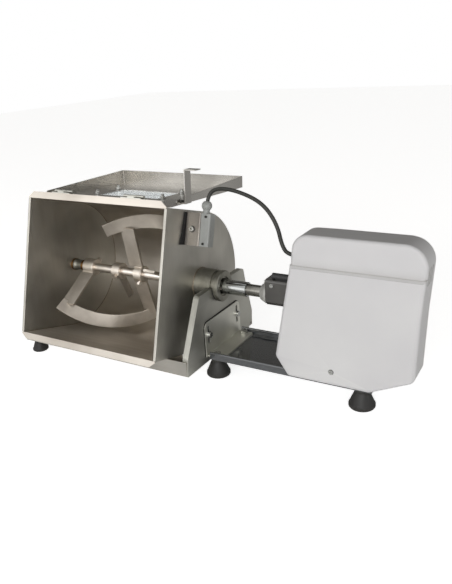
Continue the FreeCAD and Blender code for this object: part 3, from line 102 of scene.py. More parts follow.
def settle(node, **values):
    """Sets sockets by name. An underscore stands for the space in a socket's name."""
    for name, value in values.items():
        node.inputs[name.replace("_", " ")].default_value = value


def start_material(name):
    material = bpy.data.materials.new(name)
    material.use_nodes = True
    tree = material.node_tree
    tree.nodes.clear()
    output = add(tree, "OutputMaterial")
    shader = add(tree, "BsdfPrincipled")
    tree.links.new(shader.outputs["BSDF"], output.inputs["Surface"])
    return material, tree, shader


def place_coordinates(tree, scale, turn=(0.0, 0.0, 0.0)):
    """Object coordinates in metres, turned and scaled, so that grain has its real size."""
    coordinates = add(tree, "TexCoord")
    mapping = add(tree, "Mapping")
    settle(mapping, Rotation=turn, Scale=scale)
    tree.links.new(coordinates.outputs["Object"], mapping.inputs["Vector"])
    return mapping.outputs["Vector"]


def noise(tree, vector, scale, detail=2.0, rough=0.5, distortion=0.0):
    made = add(tree, "TexNoise")
    settle(made, Scale=scale, Detail=detail, Roughness=rough, Distortion=distortion)
    tree.links.new(vector, made.inputs["Vector"])
    return made.outputs["Fac"]


def remap(tree, value, low, high, from_low=0.3, from_high=0.7):
    """Noise stays mostly between 0.3 and 0.7, so that is the range it is spread from."""
    made = add(tree, "MapRange")
    settle(made, From_Min=from_low, From_Max=from_high, To_Min=low, To_Max=high)
    tree.links.new(value, made.inputs["Value"])
    return made.outputs["Result"]


def mix_colour(tree, factor, first, second):
    """The mix node keeps its colour sockets at 6 and 7, and its colour result at 2."""
    made = add(tree, "Mix", data_type="RGBA")
    for socket, value in ((6, first), (7, second)):
        if isinstance(value, tuple):
            made.inputs[socket].default_value = value
        else:
            tree.links.new(value, made.inputs[socket])
    tree.links.new(factor, made.inputs[0])
    return made.outputs[2]


def combine(tree, operation, first, second):
    """A math node on two values, each a number or another node's output."""
    made = add(tree, "Math", operation=operation)
    for socket, value in enumerate((first, second)):
        if isinstance(value, float):
            made.inputs[socket].default_value = value
        else:
            tree.links.new(value, made.inputs[socket])
    return made.outputs[0]


def bump(tree, shader, height, strength, distance):
    made = add(tree, "Bump")
    settle(made, Strength=strength, Distance=distance)
    tree.links.new(height, made.inputs["Height"])
    tree.links.new(made.outputs["Normal"], shader.inputs["Normal"])


EVEN = (1.0, 1.0, 1.0)
print("white in linear light:", srgb("FFFFFF")[:3])

# %% [markdown]
# ## Brushed stainless steel
# The sheets are ground along one direction. Fine lines about 0.4 mm apart run with the grain,
# smears about 10 mm wide follow them, and broad soft clouds of about 100 mm show where the
# grinding and the handling differ. The surface is all metal, so the lines live in its roughness
# and in a very shallow relief.

# %%
FINE, LONG = 2400.0, 12.0
ALONG_X, ALONG_Y, ALONG_Z = (LONG, FINE, FINE), (FINE, LONG, FINE), (FINE, FINE, LONG)
UPRIGHT_TURN = (0.0, 0.0, 0.0)
TUB_TURN = (TUB_TILT, 0.0, 0.0)
LID_TURN = (-LID_DROOP, 0.0, 0.0)
SMEAR_STRETCH = 0.04


def brushed_steel(name, light, dark, grain, turn, rough, anisotropy=0.45, depth=0.00002, smear=0.05):
    """grain holds the noise cells for each metre along X, Y and Z: the few run with the lines."""
    material, tree, shader = start_material(name)
    lines = noise(tree, place_coordinates(tree, grain, turn), 1.0, 3.0, 0.6)
    clouds = noise(tree, place_coordinates(tree, EVEN), 9.0, 2.0, 0.5, 0.3)
    smears = noise(tree, place_coordinates(tree, [SMEAR_STRETCH * g for g in grain], turn), 1.0, 2.0, 0.5)
    mixed = mix_colour(tree, remap(tree, clouds, 0.0, 1.0, 0.35, 0.65), srgb(dark), srgb(light))
    tint = mix_colour(tree, remap(tree, lines, 0.0, 0.10, 0.35, 0.7), mixed, srgb("FFFFFF"))
    tree.links.new(tint, shader.inputs["Base Color"])
    settle(shader, Metallic=1.0, Anisotropic=anisotropy)
    ground = combine(tree, "ADD", remap(tree, lines, *rough), remap(tree, smears, -smear, smear))
    tree.links.new(ground, shader.inputs["Roughness"])
    bump(tree, shader, lines, 0.15, depth)
    return material


tub_sheet = brushed_steel(
    "stainless_tub_sheet", "C9C2B8", "ADA59A", ALONG_X, TUB_TURN, (0.38, 0.50))
wall_sheet = brushed_steel(
    "stainless_wall_sheet", "BEBBB2", "A19E96", ALONG_Z, TUB_TURN, (0.42, 0.56), 0.15)
lid_sheet = brushed_steel(
    "stainless_lid_sheet", "C0BDB7", "A3A09A", ALONG_X, LID_TURN, (0.23, 0.26), 0.0, 0.000002, 0.01)
upright_sheet = brushed_steel(
    "satin_upright_plate", "C2C1B8", "A2A199", ALONG_Y, UPRIGHT_TURN, (0.38, 0.52))
rail_sheet = brushed_steel(
    "stainless_rail_sheet", "CECAC2", "AFACA4", ALONG_X, UPRIGHT_TURN, (0.26, 0.42))
bracket_sheet = brushed_steel(
    "satin_bracket_plate", "E6E5DB", "C8C7BE", ALONG_Y, UPRIGHT_TURN, (0.40, 0.54), 0.2)
switch_sheet = brushed_steel(
    "stainless_switch_bracket", "948E86", "736D66", ALONG_Z, TUB_TURN, (0.34, 0.46))
print("sheet finishes made")


# %% [markdown]
# ## Turned and polished steel
# The agitator's shaft, the drive sleeve and the collars came off a lathe: faint rings go round
# the X axis. The shaft and the sleeve are polished bright, the hubs are left dark and matt.

# %%
def turned_steel(name, light, dark, rough, rings=900.0, depth=0.00001, anisotropy=0.2):
    """rings is how many of the lathe's rings lie on each metre."""
    material, tree, shader = start_material(name)
    fine = noise(tree, place_coordinates(tree, (rings, 8.0, 8.0)), 1.0, 3.0, 0.6)
    clouds = noise(tree, place_coordinates(tree, EVEN), 45.0, 3.0, 0.55)
    base = mix_colour(tree, remap(tree, clouds, 0.0, 1.0), srgb(dark), srgb(light))
    tree.links.new(base, shader.inputs["Base Color"])
    settle(shader, Metallic=1.0, Anisotropic=anisotropy)
    tree.links.new(remap(tree, fine, *rough), shader.inputs["Roughness"])
    bump(tree, shader, fine, 0.3, depth)
    return material


shaft_steel = turned_steel("satin_shaft_steel", "ECE5DC", "DAD2C9", (0.30, 0.42))
sleeve_steel = turned_steel("chromed_sleeve", "AEB0AF", "9FA19F", (0.09, 0.14), 60.0, 0.0000005, 0.0)
collar_steel = turned_steel("cast_collar_steel", "E6DED3", "CFC6BB", (0.38, 0.52))
hub_steel = turned_steel("dark_turned_hub", "A19F95", "7F7D74", (0.36, 0.5), 600.0)
seal_steel = turned_steel("oily_seal_steel", "4A4944", "2C2B28", (0.30, 0.5), 600.0)
bearing_steel = turned_steel("ground_bearing_steel", "C8C8C6", "B0B0AD", (0.10, 0.18))
gear_steel = turned_steel("oiled_gear_steel", "96948E", "6F6D67", (0.22, 0.36), 300.0)
bronze = turned_steel("turned_bronze", "9A7448", "6E4F2E", (0.28, 0.42))
print("turned finishes made")


# %% [markdown]
# ## Blades
# The blades are cut from plate and ground by hand, so their grinding marks run in short curved
# strokes about 10 mm long, and their colour is a little warmer than the tub's.

# %%
def ground_blade(name, light, dark, rough):
    material, tree, shader = start_material(name)
    strokes = noise(tree, place_coordinates(tree, (120.0, 1500.0, 1500.0)), 1.0, 3.0, 0.6, 0.3)
    clouds = noise(tree, place_coordinates(tree, EVEN), 30.0, 3.0, 0.5, 0.3)
    base = mix_colour(tree, remap(tree, clouds, 0.0, 1.0), srgb(dark), srgb(light))
    tint = mix_colour(tree, remap(tree, strokes, 0.0, 0.08), base, srgb("FFF8F0"))
    tree.links.new(tint, shader.inputs["Base Color"])
    settle(shader, Metallic=1.0, Anisotropic=0.3)
    tree.links.new(remap(tree, strokes, *rough), shader.inputs["Roughness"])
    bump(tree, shader, strokes, 0.15, 0.00002)
    return material


blade_steel = ground_blade("ground_blade_steel", "CFC7BC", "B5ADA2", (0.44, 0.56))
print("blade finish made")


# %% [markdown]
# ## Plated, cast and varnished metal
# The screws and springs have bright, slightly blue-white zinc plating with tiny cloudy stains.
# The castings, the varnished windings and the weld's heat tint are cloudy in the same way.

# %%
def stained_metal(name, light, dark, rough):
    material, tree, shader = start_material(name)
    stains = noise(tree, place_coordinates(tree, EVEN), 380.0, 4.0, 0.6)
    base = mix_colour(tree, remap(tree, stains, 0.0, 1.0), srgb(dark), srgb(light))
    tree.links.new(base, shader.inputs["Base Color"])
    settle(shader, Metallic=1.0)
    tree.links.new(remap(tree, stains, *rough), shader.inputs["Roughness"])
    bump(tree, shader, stains, 0.15, 0.00004)
    return material


screw_steel = stained_metal("zinc_plated_screws", "CFD0CE", "A7A7A2", (0.18, 0.34))
dark_screws = stained_metal("blackened_small_screws", "3A3936", "232220", (0.32, 0.5))
heat_tint = stained_metal("heat_tinted_weld", "A59A8B", "6E6151", (0.34, 0.48))
copper = stained_metal("varnished_copper_windings", "A8603A", "7C4124", (0.3, 0.45))
die_cast = stained_metal("sandblasted_die_casting", "A5A5A2", "85857F", (0.42, 0.58))
print("stained finishes made")


# %% [markdown]
# ## Paint, plastic and rubber
# The motor pan and the gear case are sprayed semi-gloss black with fine orange peel of about
# 1 mm. The motor cover is light grey with a very fine satin texture. Rubber is matt, with a
# faint bloom of dust. The edges of paint and plastic are rubbed a little lighter, and the inner
# corners of the cover are darkened with painted shade.

# %%
CORNER_SHADE_REACH = 0.016


def coated(name, light, dark, rough, cell_mm, depth, patches_per_metre=14.0, coat=0.0, coat_ior=1.5,
           edge="", corner_shade=""):
    """edge is the colour of rubbed edges, and the last argument the colour of painted shade in inner
    corners. Without one there is none.
    """
    material, tree, shader = start_material(name)
    grain = noise(tree, place_coordinates(tree, EVEN), 1.0 / (cell_mm * MM), 2.0, 0.5)
    patches = noise(tree, place_coordinates(tree, EVEN), patches_per_metre, 3.0, 0.55)
    colour = mix_colour(tree, remap(tree, patches, 0.0, 1.0), srgb(dark), srgb(light))
    if edge:
        geometry = add(tree, "NewGeometry")
        rubbed = remap(tree, geometry.outputs["Pointiness"], 0.0, 0.5, 0.52, 0.62)
        colour = mix_colour(tree, rubbed, colour, srgb(edge))
    # Painted shade: ambient occlusion darkens the inner corners towards the shade colour.
    if corner_shade:
        corners = add(tree, "AmbientOcclusion", samples=8, only_local=True)
        settle(corners, Distance=CORNER_SHADE_REACH)
        unshaded = remap(tree, corners.outputs["AO"], 0.0, 1.0, 0.5, 0.98)
        colour = mix_colour(tree, unshaded, srgb(corner_shade), colour)
    tree.links.new(colour, shader.inputs["Base Color"])
    settle(shader, Coat_Weight=coat, Coat_Roughness=0.12, Coat_IOR=coat_ior)
    tree.links.new(remap(tree, patches, *rough), shader.inputs["Roughness"])
    bump(tree, shader, grain, 0.25, depth)
    return material


black_paint = coated(
    "sprayed_black_paint", "1B1B1C", "101011", (0.26, 0.38), 1.2, 0.00006, coat=0.25, edge="3C3C3C")
pan_paint = coated(
    "gloss_black_pan_paint", "404347", "33363A", (0.08, 0.16), 1.6, 0.00002, coat=1.0, coat_ior=1.8,
    edge="46494C")
case_paint = coated(
    "gloss_black_gear_case", "575551", "454340", (0.16, 0.26), 1.6, 0.00003, coat=0.6, edge="504E4A")
# The cover's inner corners get painted shade in 918D84.
cover_shell = coated(
    "satin_light_grey_cover", "E2E1E2", "DCDBDD", (0.42, 0.52), 0.5, 0.00002, 9.0, edge="F2F2F0",
    corner_shade="918D84")
grey_plastic = coated(
    "moulded_grey_plastic", "AFB1AE", "9EA09D", (0.42, 0.54), 0.4, 0.00003, 60.0, edge="A5A7A4")
collar_plastic = coated(
    "light_grey_bearing_collar", "B4B4B0", "A09F9A", (0.40, 0.52), 0.5, 0.00003, 60.0, edge="CBCBC6")
black_plastic = coated(
    "moulded_black_plastic", "1A1A1A", "101010", (0.36, 0.48), 0.4, 0.00003, 60.0, edge="353535")
liner_plastic = coated(
    "waxy_liner_plastic", "2B2B29", "1C1C1B", (0.45, 0.6), 0.6, 0.00003, 60.0)
foot_rubber = coated(
    "matt_foot_rubber", "211F1D", "151412", (0.5, 0.7), 0.5, 0.00006, 50.0, edge="4A4843")
cable_rubber = coated(
    "ribbed_cable_rubber", "34342F", "23231F", (0.45, 0.6), 0.6, 0.00005, 40.0)
seal_rubber = coated(
    "dark_seal_rubber", "1A1714", "0E0C0B", (0.5, 0.65), 0.6, 0.00004, 60.0)
# Painted shadow: this near-black stands in for shade in the gaps beside the link bracket and the switch
# bracket.
shadow_black = coated(
    "painted_shadow_black", "090908", "050505", (0.7, 0.85), 0.8, 0.00008, 60.0)
print("coated finishes made")

# %% [markdown]
# ## Clear window pane
# A 3 mm polycarbonate sheet with a hint of grey. It has a few wiping smears that only show in its
# roughness.

# %%
WIPED = (20.0, 90.0, 90.0)
pane, tree, shader = start_material("clear_window_pane")
settle(shader, Base_Color=srgb("E8EEF0"), Transmission_Weight=1.0, IOR=1.45)
smears = noise(tree, place_coordinates(tree, WIPED), 1.0, 3.0, 0.5, 0.8)
tree.links.new(remap(tree, smears, 0.02, 0.12), shader.inputs["Roughness"])
print("pane made")

# %% [markdown]
# ## Finishes on the CAD nodes
# Each node keeps its shape and gets its finish.

# %%
FINISH = {
    "tub_trough": tub_sheet, "tub_right_wall": wall_sheet, "tub_left_wall": wall_sheet,
    "right_hub": hub_steel, "left_hub": hub_steel, "shaft_bushes": bronze, "hub_seal": seal_steel,
    "lock_plate": upright_sheet, "right_upright": upright_sheet, "left_upright": upright_sheet,
    "saddle_liners": liner_plastic, "base_rails": rail_sheet, "rubber_feet": foot_rubber,
    "foot_screws": screw_steel, "link_bracket": bracket_sheet, "bracket_bolts": screw_steel,
    "motor_pan": pan_paint, "motor_cover": cover_shell, "cover_tabs": screw_steel,
    "unit_screws": screw_steel, "power_switch_frame": black_plastic, "power_rocker": black_plastic,
    "mains_inlet": black_plastic, "cable_grommet": black_plastic, "drive_sleeve": sleeve_steel,
    "output_gear": gear_steel, "cluster_gear": gear_steel, "motor_rotor": gear_steel,
    "motor_can": black_paint, "motor_stator": copper, "end_bell": die_cast, "bearings": bearing_steel,
    "bearing_collar": collar_plastic, "gear_case": case_paint, "case_breather": black_plastic,
    "gearbox_housing": case_paint, "motor_mount": black_paint, "run_capacitor": black_plastic,
    "agitator_shaft": shaft_steel, "agitator_collars": collar_steel, "lower_blade": blade_steel,
    "upper_blade": blade_steel, "agitator_arms": blade_steel, "lid_tray": lid_sheet, "lid_window": pane,
    "lid_fasteners": screw_steel, "actuator_strip": lid_sheet, "lid_handle": lid_sheet,
    "lid_hinges": upright_sheet, "tub_hinge_leaves": upright_sheet, "switch_bracket": switch_sheet,
    "switch_box": grey_plastic, "limit_switch": black_plastic, "switch_plunger": screw_steel,
    "switch_gland": grey_plastic, "switch_screws": dark_screws, "lock_barrel": hub_steel,
    "lock_pin": black_plastic, "lock_spring": screw_steel,
}
for name, material in FINISH.items():
    nodes[name].data.materials.clear()
    nodes[name].data.materials.append(material)
print("finished nodes:", len(FINISH))

# %% [markdown]
# ## Softened edges
# Where a CAD edge is sharp and shows, a narrow bevel catches the light, as a real edge does. The
# CAD faces come in apart, so they are joined first.

# %%
EDGE_MM = {
    "gear_case": 0.8, "lower_blade": 0.7, "upper_blade": 0.7, "agitator_arms": 0.7, "right_upright": 0.7,
    "left_upright": 0.7, "switch_box": 0.8, "tub_right_wall": 0.6, "tub_left_wall": 0.6,
    "base_rails": 0.5, "actuator_strip": 0.3, "power_rocker": 0.4, "power_switch_frame": 0.5,
}


def soften(body, width_mm, sharpest):
    edge = body.modifiers.new("soft_edges", "BEVEL")
    edge.width = width_mm * MM
    edge.segments = 2
    edge.limit_method = "ANGLE"
    edge.angle_limit = math.radians(sharpest)


for name, width_mm in EDGE_MM.items():
    joined = nodes[name].modifiers.new("joined_faces", "WELD")
    joined.merge_threshold = 0.01 * MM
    soften(nodes[name], width_mm, 35.0)
    shading = nodes[name].modifiers.new("even_shading", "WEIGHTED_NORMAL")
    shading.weight = 70
print("softened nodes:", len(EDGE_MM))

# %% [markdown]
# ## Small pieces that the CAD model leaves out
# They are built as meshes: a turned shape from an outline of heights and radii, a flat outline
# with a depth, and a weld bead that follows a path with one ripple about every 3 mm.
# finish_piece turns such a shape into an object, gives it its finish and lets it ride a body.

# %%
def finish_piece(name, shape, material, body, edge_mm=0.0):
    bmesh.ops.remove_doubles(shape, verts=shape.verts, dist=0.001 * MM)
    bmesh.ops.recalc_face_normals(shape, faces=shape.faces)
    made = bpy.data.meshes.new(name)
    shape.to_mesh(made)
    shape.free()
    made.materials.append(material)
    piece = bpy.data.objects.new(name, made)
    bpy.context.collection.objects.link(piece)
    if edge_mm:
        soften(piece, edge_mm, 40.0)
    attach(piece, body)
    print(name, "faces:", len(made.polygons))


def bridge(shape, pairs):
    """Joins each pair of rings with four-sided faces."""
    for first, second in pairs:
        for k in range(len(first)):
            if len({first[k - 1], first[k], second[k], second[k - 1]}) == 4:
                shape.faces.new((first[k - 1], first[k], second[k], second[k - 1]))


def cap(shape, rings):
    shape.faces.new(rings[0])
    shape.faces.new(rings[-1][::-1])


def turned(shape, centre, axis, outline, start=0.0, stop=360.0, steps=36):
    """Turns a closed outline of (height, radius) in millimetres about an axis. Round the shaft,
    the angles start at +Y."""
    axis = axis.normalized()
    across = axis.orthogonal().normalized()
    if abs(axis.x) > 0.9:
        across = Vector((0.0, 1.0, 0.0))
    other = axis.cross(across)
    whole = stop - start > 359.9
    rings = []
    for k in range(steps if whole else steps + 1):
        angle = math.radians(start + (stop - start) * k / steps)
        out = across * math.cos(angle) + other * math.sin(angle)
        rings.append([shape.verts.new(centre + (axis * h + out * r) * MM) for h, r in outline])
    bridge(shape, zip(rings, rings[1:] + (rings[:1] if whole else [])))
    if not whole:
        cap(shape, rings)


def raised(shape, corners, depth):
    """Gives a flat outline of places a depth."""
    low = [shape.verts.new(corner) for corner in corners]
    high = [shape.verts.new(corner + depth) for corner in corners]
    shape.faces.new(low)
    shape.faces.new(high[::-1])
    bridge(shape, [(low, high)])


BEAD_ANGLES = [math.radians(45.0 * corner) for corner in range(8)]


def weld_bead(shape, path, radius, closed=False):
    """A rippled bead whose path is a list of places about 1 mm apart."""
    rings = []
    for k, place in enumerate(path):
        ahead = path[(k + 1) % len(path)] if closed or k < len(path) - 1 else place
        behind = path[k - 1] if closed or k else place
        along = (ahead - behind).normalized()
        side = along.orthogonal().normalized()
        if abs(along.x) < 0.5:
            side = Vector((1.0, 0.0, 0.0))
        top = along.cross(side)
        size = radius * MM * (1.0 + 0.16 * math.sin(2.1 * k) + 0.05 * math.sin(0.7 * k))
        rings.append([shape.verts.new(place + (side * math.cos(a) + top * math.sin(a)) * size)
                      for a in BEAD_ANGLES])
    bridge(shape, zip(rings, rings[1:] + (rings[:1] if closed else [])))
    if not closed:
        cap(shape, rings)


print("piece makers ready")

# %% [markdown]
# ## Weld beads
# The hubs are welded to the tub's walls all round. The trough meets both walls in a thin seam,
# browned by heat. The arms are welded to their collars on both faces.

# %%
WALL_LEFT = -330.0
HUB_WELD_RADIUS = 30.1
TROUGH_INNER_RADIUS = 135.7
TROUGH_FRONT = -128
WALL_TO_SEAM = 3.3
COLLAR_RADIUS = 16.9
ARM_HALF_THICK = 2.9


def ring_path(x, radius):
    count = int(2.0 * math.pi * radius)
    angles = [2.0 * math.pi * k / count for k in range(count)]
    return [at(x, radius * math.cos(a), radius * math.sin(a)) for a in angles]


def seam_path(x, radius, front):
    path = [tipped(x, y, radius) for y in range(front, 0)]
    steps = int(math.pi * radius)
    for k in range(steps + 1):
        angle = math.pi * k / steps
        path.append(tipped(x, radius * math.sin(angle), radius * math.cos(angle)))
    return path + [tipped(x, -y, -radius) for y in range(1, -front)]


shape = bmesh.new()
for x in (0.4, WALL_LEFT - 0.4):
    weld_bead(shape, ring_path(x, HUB_WELD_RADIUS), 1.1, True)
finish_piece("hub_welds", shape, heat_tint, "tub")

shape = bmesh.new()
for x in (WALL_LEFT + WALL_TO_SEAM, -WALL_TO_SEAM):
    weld_bead(shape, seam_path(x, TROUGH_INNER_RADIUS, TROUGH_FRONT), 0.75)
finish_piece("trough_seam_welds", shape, heat_tint, "tub")

# Each weld has its start and end along the shaft and the direction of its arm in degrees.
ARM_WELDS = ((-292.0, -265.0, 212.0), (-156.0, -137.6, 287.0), (-156.0, -137.6, 100.0),
             (-74.0, -54.0, 39.0), (-211.4, -194.6, 293.0), (-72.4, -55.6, 152.0))
shape = bmesh.new()
for start, stop, degrees in ARM_WELDS:
    a = math.radians(degrees)
    for face in (-ARM_HALF_THICK, ARM_HALF_THICK):
        y = COLLAR_RADIUS * math.cos(a) - face * math.sin(a)
        z = COLLAR_RADIUS * math.sin(a) + face * math.cos(a)
        weld_bead(shape, [at(start + k, y, z) for k in range(int(stop - start))], 1.5)
finish_piece("collar_welds", shape, blade_steel, "agitator")

# %% [markdown]
# ## Shroud and claws round the shaft
# A turned shroud fills the space between the left bush and the bronze washer. In the right hub's
# mouth six claws and a thin ring hold the hub's cover seal.

# %%
CLAWS = 6
FIRST_CLAW, CLAW_HALF_ANGLE = 20.0, 13.0

shape = bmesh.new()
turned(shape, at(0, 0, 0), ALONG_SHAFT,
       [(-323.7, 9.5), (-323.7, 12.4), (-320.0, 12.8), (-314.0, 10.6), (-305.0, 10.2), (-303.5, 11.2),
        (-301.8, 11.2), (-301.8, 9.5)])
finish_piece("left_bush_shroud", shape, hub_steel, "tub")

shape = bmesh.new()
turned(shape, at(0, 0, 0), ALONG_SHAFT, [(48.6, 16.2), (48.6, 17.8), (49.8, 17.8), (49.8, 16.2)])
for k in range(CLAWS):
    middle = FIRST_CLAW + 360.0 / CLAWS * k
    turned(shape, at(0, 0, 0), ALONG_SHAFT, [(44.0, 14.8), (44.0, 17.7), (51.4, 17.7), (51.4, 15.4)],
           middle - CLAW_HALF_ANGLE, middle + CLAW_HALF_ANGLE, 6)
finish_piece("hub_claws", shape, hub_steel, "tub", 0.3)

# %% [markdown]
# ## Painted shadow behind the link bracket
# A black sheet behind the plate is painted shadow: a black line round the plate and black slots beside
# the bolts.

# %%
PLATE_HALF, PLATE_LOW, PLATE_TOP, PLATE_CORNER = 67.0, -122.0, -54.0, 12.0
SHADOW_SHEET_X = 42.15
SHADOW_SHEET_THICK = Vector((0.9, 0.0, 0.0)) * MM
SLOT_ACROSS, SLOT_LEVEL = 55.0, -80.0
SLOT_HALF, SLOT_END, BOLT_CLEAR = 3.0, 15.2, 3.6


def plate_outline(grown):
    half = PLATE_HALF + grown
    top = PLATE_TOP + grown
    corner = PLATE_CORNER + grown
    places = [(-half, PLATE_LOW)]
    for side, first in ((-1, 180.0), (1, 90.0)):
        for k in range(7):
            a = math.radians(first - 15.0 * k)
            y = side * (half - corner) + corner * math.cos(a)
            places.append((y, top - corner + corner * math.sin(a)))
    return [at(SHADOW_SHEET_X, y, z) for y, z in places + [(half, PLATE_LOW)]]


# Painted shadow: a black sheet stands in for the shadow gap round the plate and in its slots.
shape = bmesh.new()
outer, inner = plate_outline(1.5), plate_outline(0.1)
for k in range(len(outer) - 1):
    raised(shape, [outer[k], outer[k + 1], inner[k + 1], inner[k]], SHADOW_SHEET_THICK)
half_round = [math.pi * k / 8.0 for k in range(9)]
for y in (-SLOT_ACROSS, SLOT_ACROSS):
    for side in (-1, 1):
        arc = [(SLOT_HALF * math.cos(a), side * (SLOT_END + SLOT_HALF * math.sin(a))) for a in half_round]
        corners = arc + [(-SLOT_HALF, side * BOLT_CLEAR), (SLOT_HALF, side * BOLT_CLEAR)]
        raised(shape, [at(SHADOW_SHEET_X, y + u, SLOT_LEVEL + v) for u, v in corners], SHADOW_SHEET_THICK)
finish_piece("link_bracket_shadow_sheet", shape, shadow_black, "stand")

# %% [markdown]
# ## Switch details
# A black wedge on the wall in front of the switch bracket is painted shadow. The plunger has a
# wide bright head with a cross recess, and a dark ring lies round it on the bracket.

# %%
OUTWARD = (tipped(0, -1, 0) - tipped(0, 0, 0)).normalized()
PLUNGER_X, PLUNGER_Z, BRACKET_FACE = 17, 104, -75

# Painted shadow: a black wedge stands in for the shade on the wall beside the bracket.
shape = bmesh.new()
wedge = [(-78.2, 134.0), (-75.3, 134.0), (-75.3, 74.0), (-88.0, 74.0), (-86.5, 80.0)]
raised(shape, [tipped(0.25, y, z) for y, z in wedge], ALONG_SHAFT * 3.4 * MM)
finish_piece("switch_wall_shadow_wedge", shape, shadow_black, "tub", 0.4)

shape = bmesh.new()
turned(shape, tipped(PLUNGER_X, BRACKET_FACE - 4, PLUNGER_Z), OUTWARD,
       [(-0.7, 0.0), (-0.7, 4.5), (-0.2, 4.7), (0.15, 4.2), (0.3, 0.0)], steps=28)
finish_piece("plunger_head", shape, screw_steel, "plunger")

shape = bmesh.new()
long, half = 2.8, 0.5
arm = [(half, half), (long, half), (long, -half)]
cross = []
for quarter in range(4):
    cross += arm
    arm = [(v, -u) for u, v in arm]
raised(shape, [tipped(PLUNGER_X + u, BRACKET_FACE - 4.1, PLUNGER_Z + v) for u, v in cross],
       OUTWARD * 0.35 * MM)
finish_piece("plunger_head_recess", shape, dark_screws, "plunger")

shape = bmesh.new()
turned(shape, tipped(PLUNGER_X, BRACKET_FACE, PLUNGER_Z), OUTWARD,
       [(0.02, 4.9), (0.02, 6.1), (0.5, 5.9), (0.6, 5.2)], steps=28)
finish_piece("plunger_ring", shape, seal_rubber, "tub")

# %% [markdown]
# ## Lid and cover details
# Dark washers lie under the lid's dome nuts, and three small dark screws hold the bent strip. A
# thin dark ring round the screw in the motor cover's front is painted shadow.

# %%
LID_FLOOR = -15.0
WINDOW_BOLTS_X, WINDOW_BOLTS_Y = (-233.0, -71.0), (76.0, 143.0)
STRIP_SCREW_X, STRIP_SCREWS_Y, STRIP_TOP = -11.5, (42.0, 48.5, 55.0), LID_FLOOR + 2.0
UP_FROM_LID = on_lid(0, 0, 1) - on_lid(0, 0, 0)

shape = bmesh.new()
for x in WINDOW_BOLTS_X:
    for y in WINDOW_BOLTS_Y:
        turned(shape, on_lid(x, y, LID_FLOOR), UP_FROM_LID,
               [(0.05, 3.2), (0.05, 6.6), (0.5, 6.4), (0.7, 3.2)], steps=24)
finish_piece("dome_nut_washers", shape, seal_rubber, "lid")

shape = bmesh.new()
for y in STRIP_SCREWS_Y:
    turned(shape, on_lid(STRIP_SCREW_X, y, STRIP_TOP), UP_FROM_LID,
           [(0.02, 0.0), (0.02, 3.1), (1.6, 3.1), (2.3, 2.2), (2.6, 0.0)], steps=20)
finish_piece("strip_screw_heads", shape, dark_screws, "lid")

# Painted shadow: a dark ring round the cover's front screw.
screw_place = at(295.0, 0.0, -98.0)
screw_place.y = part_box("motor_cover")[0][1]
shape = bmesh.new()
turned(shape, screw_place, Vector((0.0, -1.0, 0.0)),
       [(-0.3, 3.4), (-0.3, 5.0), (0.25, 4.8), (0.3, 3.6)], steps=28)
finish_piece("cover_screw_shadow_ring", shape, black_plastic, "stand")

# %% [markdown]
# ## Safety switch cable
# A 7 mm rubber cable leaves the switch gland upwards, bends over in one easy arch and goes into
# the motor cover's left side. It is stiff enough to carry itself over that short way. It rides
# the stand, so it keeps its shape and place when the tub tips.

# %%
CABLE_THICK = 7.0 * MM
CABLE = (
    (39.2, -22.3, 158.9), (39.2, -16.05, 179.97), (57.0, -12.5, 192.5), (103.0, -22.0, 192.0),
    (158.0, -34.0, 177.0), (186.0, -38.0, 143.0), (193.5, -36.5, 105.0), (208.0, -43.3, 92.7),
    (228.5, -43.3, 92.7),
)
curve = bpy.data.curves.new("switch_cable_line", "CURVE")
curve.dimensions = "3D"
spline = curve.splines.new("NURBS")
spline.points.add(len(CABLE) - 1)
for point, place in zip(spline.points, CABLE):
    point.co = (*at(*place), 1.0)
spline.order_u = 3
spline.use_endpoint_u = True
spline.resolution_u = 12
curve.bevel_depth = CABLE_THICK / 2.0
curve.bevel_resolution = 6
curve.use_fill_caps = True
cable = bpy.data.objects.new("safety_switch_cable", curve)
bpy.context.collection.objects.link(cable)
curve.materials.append(cable_rubber)
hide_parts("switch_cable")
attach(cable, "stand")
print("cable points:", len(CABLE))

# %% [markdown]
# ## White floor
# The machine stands on a plain white floor that runs into a white background, with only a faint
# shadow round its feet. The floor adds its white only where the camera looks at it, straight or
# through the pane, and a little of it in a reflection, so it doesn't light the machine.

# %%
def seen_directly(tree):
    """Gives two outputs: 1 for what is seen straight or through the pane, and 1 for what is mirrored."""
    path = add(tree, "LightPath")
    direct = combine(tree, "MAXIMUM", path.outputs["Is Camera Ray"], path.outputs["Is Transmission Ray"])
    return direct, path.outputs["Is Glossy Ray"]


def white_floor(straight, mirrored):
    material, tree, shader = start_material("white_floor")
    settle(shader, Base_Color=srgb("FCFCFC"), Roughness=0.9, Specular_IOR_Level=0.1)
    settle(shader, Emission_Color=srgb("FFFFFF"))
    direct, glossy = seen_directly(tree)
    glow = combine(tree, "ADD", combine(tree, "MULTIPLY", direct, straight),
                   combine(tree, "MULTIPLY", glossy, mirrored))
    tree.links.new(glow, shader.inputs["Emission Strength"])
    return material


mesh = bpy.data.meshes.new("floor")
mesh.from_pydata([(-6, -6, 0), (6, -6, 0), (6, 8, 0), (-6, 8, 0)], [], [(0, 1, 2, 3)])
mesh.materials.append(white_floor(0.8, 0.25))
floor = bpy.data.objects.new("floor", mesh)
floor.location.z = -0.5 * MM
bpy.context.collection.objects.link(floor)
print("floor at", floor.location.z)

# %% [markdown]
# ## The room
# A plain grey room stands round the machine: paler in front, darker behind it and darkest
# overhead, which gives the steel something to mirror. The camera sees white in its place.

# %%
world = bpy.data.worlds.new("studio")
bpy.context.scene.world = world
world.use_nodes = True
tree = world.node_tree
tree.nodes.clear()

coordinates = add(tree, "TexCoord")
split = add(tree, "SeparateXYZ")
tree.links.new(coordinates.outputs["Generated"], split.inputs[0])
towards_back, upwards = split.outputs[1], split.outputs[2]

